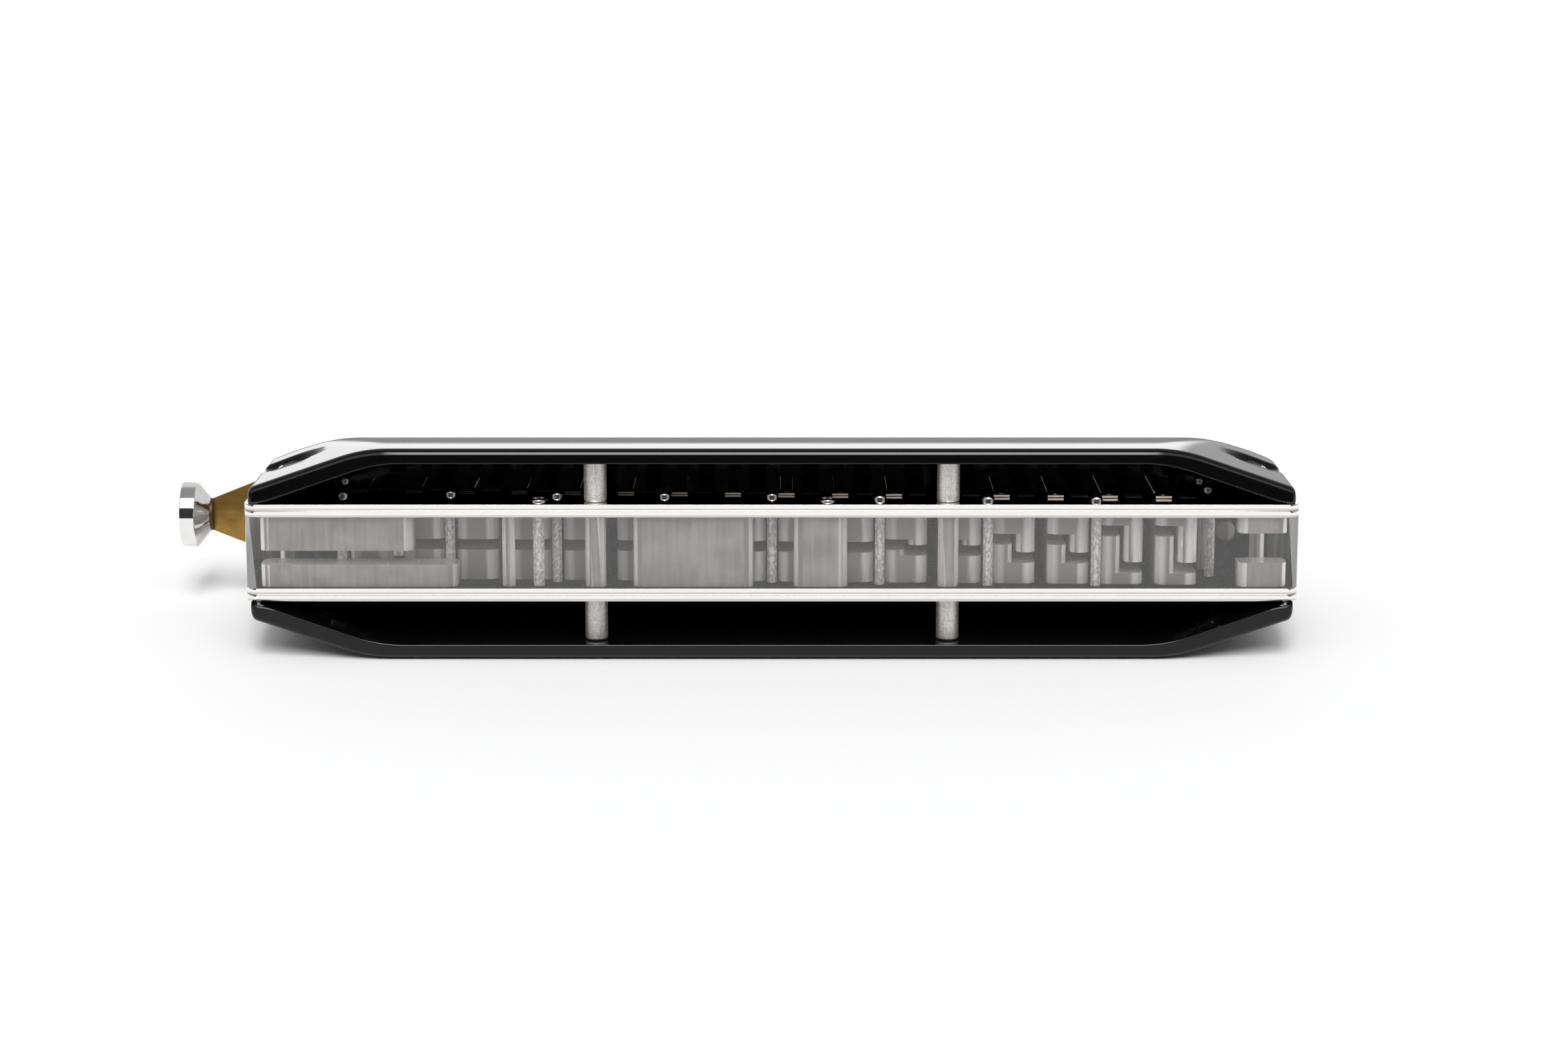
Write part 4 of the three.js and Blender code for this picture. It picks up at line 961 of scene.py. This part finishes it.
# The collar next to the slide's neck is coloured near-black brown: painted shade for the shadowed gap
# between the button and the slide.
collar_shade, place, shader = new_finish("painted_shade_collar", Metallic=0.6)
collar_mottle = grain(place, (2.0, 1.5, 0.6), 3.0)
collar_mottle.mix((0.03, 0.018, 0.008), (0.12, 0.075, 0.03)).feed(shader["Base Color"])
(collar_mottle * 0.2 + 0.35).feed(shader["Roughness"])
bump(collar_mottle, 0.2, 0.05, shader)
button.data.materials.append(collar_shade)
for face in button.data.polygons:
    face.material_index = int(face.center.x > high.x - BUTTON_COLLAR + TOUCH)


# Spring: a hooked wire round a pin in the comb, with its tip in a hole of the slide.
wire_steel, place, shader = new_finish("spring_wire", Metallic=1.0)
drawn = grain(place, (4.0, 0.4, 4.0), 3.0)
drawn.mix((0.42, 0.41, 0.4), (0.66, 0.65, 0.63)).feed(shader["Base Color"])
(drawn * 0.15 + 0.2).feed(shader["Roughness"])
bump(drawn, 0.1, 0.02, shader)
low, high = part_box("slide_spring")
pin_low, pin_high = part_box("spring_pin")
pin = (pin_low + pin_high) / 2
WIRE_RADIUS = 0.4 * MM
WIRE_BEND = 3 * MM
WIRE_STRAIGHT = 10 * MM
PEG_RADIUS = 0.8 * MM
PEG_EDGE = 0.2 * MM
level = (low.z + high.z) / 2
tip_x = -89.3 * MM
run_y = -13.5 * MM
route = [(tip_x, high.y)]
route += arc(tip_x + WIRE_BEND, run_y + WIRE_BEND, WIRE_BEND, 180, 270, 10)
route += arc(pin.x, pin.y, pin.y - run_y, -90, 150, 20)
path = bpy.data.curves.new("slide_spring_wire", "CURVE")
path.dimensions = "3D"
path.bevel_depth = WIRE_RADIUS
path.bevel_resolution = 4
path.use_fill_caps = True
spline = path.splines.new("POLY")
spline.points.add(len(route) - 1)
for point, (x, y) in zip(spline.points, route):
    point.co = (x, y, level, 1)
spring = bpy.data.objects.new("slide_spring_wire", path)
bpy.context.scene.collection.objects.link(spring)
activate(spring)
bpy.ops.object.convert(target="MESH")
spring = bpy.context.object
edit(spring)
pick("edges", lambda e: spans(e, 1) > WIRE_STRAIGHT)
bpy.ops.mesh.subdivide(number_cuts=12)
done(spring, 50)
spring.data.materials.clear()
spring.data.materials.append(wire_steel)
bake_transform(spring)
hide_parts("slide_spring")

peg = rod("peg", PEG_RADIUS, pin_low.z, pin_high.z, 24)
edit(peg)
pick("edges", lambda e: min(v.co.z for v in e.verts) > pin_high.z - FACE_DEPTH)
bpy.ops.mesh.bevel(offset=PEG_EDGE, segments=3, affect="EDGES")
bpy.ops.mesh.select_all(action="SELECT")
bpy.ops.transform.translate(value=(pin.x, pin.y, 0))
done(peg, 40).name = "spring_pin_round"
dress(peg, wire_steel, replaces=["spring_pin"])


# Mouthpiece: a plated bar with a rounded nose and sixteen flared mouth holes.
# Two sunk screws hold it and the slide guide to brass inserts in the comb.
NOSE_ROUND = 4.8 * MM
FOOT_ROUND = 0.6 * MM
MOUTH_HALF_WIDTH = 2.6 * MM
MOUTH_HALF_HEIGHT = 4.6 * MM
MOUTH_CORNER = 2.2 * MM
FLARE_DEPTH = 0.8 * MM
FLARE_STEP = 0.3 * MM
FLARES = (1.04, 1.08, 1.13)
SCREW_X = 82 * MM
SCREW_RADIUS = 1 * MM
SCREW_HOLE = 1.15 * MM
SINK_RADIUS = 2.05 * MM
HEAD_SEAT = 22.1 * MM
INSERT_RADIUS = 1.65 * MM
INSERT_EDGE = 0.2 * MM
low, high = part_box("mouthpiece")
mouthpiece = block("mouthpiece_plated", low, high)
edit(mouthpiece)
pick("edges", lambda e: min(v.co.y for v in e.verts) > high.y - FACE_DEPTH)
bpy.ops.mesh.bevel(offset=NOSE_ROUND, segments=12, affect="EDGES")
pick("edges", lambda e: max(v.co.y for v in e.verts) < low.y + FACE_DEPTH)
bpy.ops.mesh.bevel(offset=FOOT_ROUND, segments=3, affect="EDGES")
bpy.ops.object.mode_set(mode="OBJECT")

middle = (low + high) / 2
mouth = block(
    "mouth_hole",
    (-MOUTH_HALF_WIDTH, low.y - MM, middle.z - MOUTH_HALF_HEIGHT),
    (MOUTH_HALF_WIDTH, high.y - FLARE_DEPTH, middle.z + MOUTH_HALF_HEIGHT))
edit(mouth)
pick("edges", lambda e: spans(e, 1) > MM)
bpy.ops.mesh.bevel(offset=MOUTH_CORNER, segments=8, affect="EDGES")
for flare in FLARES:
    pull(lambda f: f.normal.y > 0.99, (0, FLARE_STEP, 0))
    bpy.ops.transform.resize(value=(flare, 1, flare), center_override=(0, 0, middle.z))
bpy.ops.object.mode_set(mode="OBJECT")
tools = [copy_to(mouth, "tool", lambda p: Vector((p.x + x, p.y, p.z))) for x in hole_xs]
bpy.data.objects.remove(mouth)
for x in (-SCREW_X, SCREW_X):
    for radius, near, far in ((SCREW_HOLE, low.y - MM, HEAD_SEAT), (SINK_RADIUS, HEAD_SEAT, high.y + MM)):
        tool = rod("tool", radius, near, far)
        for vertex in tool.data.vertices:
            vertex.co = Vector((x + vertex.co.x, vertex.co.z, middle.z - vertex.co.y))
        tools.append(tool)
for tool in tools:
    carve(mouthpiece, tool)
dress(done(mouthpiece, 30), plated, replaces=["mouthpiece"])

set_screws(
    model_screw(SCREW_RADIUS, length=14.1 * MM, head_radius=1.9 * MM, head_high=1.6 * MM, socket=0.7 * MM),
    ["mouthpiece_screw_left", "mouthpiece_screw_right"],
    lambda middle, p: Vector((middle.x + p.x, HEAD_SEAT + p.z, middle.z - p.y)))

knurled, place, shader = new_finish("knurled_brass", Metallic=1.0)
knurl = grain(place, (3.0, 1.0, 3.0), 2.0)
knurl.mix((0.45, 0.3, 0.11), (0.7, 0.5, 0.22)).feed(shader["Base Color"])
(knurl * 0.2 + 0.25).feed(shader["Roughness"])
bump(knurl, 0.4, 0.1, shader)
for end in ("left", "right"):
    low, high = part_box(f"mouthpiece_insert_{end}")
    middle = (low + high) / 2
    insert = rod("insert", INSERT_RADIUS, low.y, high.y)
    edit(insert)
    pick("edges", lambda e: spans(e, 2) < MM)
    bpy.ops.mesh.bevel(offset=INSERT_EDGE, segments=2, affect="EDGES")
    bpy.ops.object.mode_set(mode="OBJECT")
    carve(insert, rod("bore", SCREW_RADIUS, low.y - MM, high.y + MM))
    for vertex in insert.data.vertices:
        vertex.co = Vector((middle.x + vertex.co.x, vertex.co.z, middle.z - vertex.co.y))
    done(insert, 30).name = f"mouthpiece_insert_{end}_knurled"
    dress(insert, knurled, replaces=[f"mouthpiece_insert_{end}"])


# Camera, floor and light: the instrument lies on a white table under a softbox, in a dim room.
# The covers taper by five degrees, so the table tilts until the lower one lies flat on it.
# Polished faces show the room, while the camera and clear pieces see a plain white background.
bpy.ops.object.camera_add(
    location=(2.13 * MM, -601.71 * MM, 139.52 * MM),
    rotation=(math.radians(78.609), 0, 0))
camera = bpy.context.object
camera.data.lens = 78
camera.data.sensor_width = 36
camera.data.clip_start = 0.01
bpy.context.scene.camera = camera

TILT = math.radians(5)
FLOOR_SIZE = 12
FLOOR_BEHIND = 0.14
FLOOR_DROP = 0.45 * MM
middle_y = FLOOR_BEHIND - FLOOR_SIZE / 2
bpy.ops.mesh.primitive_plane_add(
    size=FLOOR_SIZE,
    location=(0, middle_y * math.cos(TILT), middle_y * math.sin(TILT) - FLOOR_DROP),
    rotation=(TILT, 0, 0))
floor = bpy.context.object
floor.name = "floor"
paper, _, shader = new_finish("white_paper", Roughness=0.7, Specular_IOR_Level=0.1)
shader["Base Color"].default_value = (0.955, 0.957, 0.965, 1)
floor.data.materials.append(paper)

world = bpy.data.worlds.new("studio")
bpy.context.scene.world = world
world.use_nodes = True
background = world.node_tree.nodes["Background"].inputs
direction = Field(world.node_tree).node("TexCoord", output="Generated")
right, away, above = axes(direction)
# Pitch turns from the horizon behind the camera, over the top, to the one beyond the instrument.
pitch = away.math("ARCTAN2", above, 0 - away)
softbox_tall = pitch.ramp(0.54, 0.58) * (1 - pitch.ramp(1.18, 1.22))
softbox_core = (1 - abs(right).ramp(0.11, 0.17)) * 9.5
softbox_glow = (1 - abs(right).ramp(0.45, 0.8)) * 1.5
softbox = softbox_tall * (softbox_core + softbox_glow)
spread = pitch.ramp(2.97, 3.04) * (1 - right.ramp(-0.1, 0.1)) * 0.13
backdrop = pitch.ramp(2.6, 2.8) * (1 - (abs(right) - spread).ramp(0.14, 0.175))
room = 0.04 + pitch.ramp(1.18, 1.24) * 0.26 + pitch.ramp(1.95, 2.3) * 0.4 + backdrop
below = (1 - above.ramp(-0.002, 0.012)) * away.ramp(0.0, 0.2)
room = room + below * (0.35 - room)
side_wall = 0.3 + above.ramp(0.05, 0.4) * 0.4
light = room + abs(right).ramp(0.5, 0.9) * (side_wall - room) + softbox
by_camera = light.node("LightPath", output="Is Camera Ray")
through_clear = light.node("LightPath", output="Is Transmission Ray")
light = light + (by_camera + through_clear) * (1 - light)
background["Color"].default_value = (1, 1, 1, 1)
light.feed(background["Strength"])

bpy.context.scene.view_settings.view_transform = "Standard"
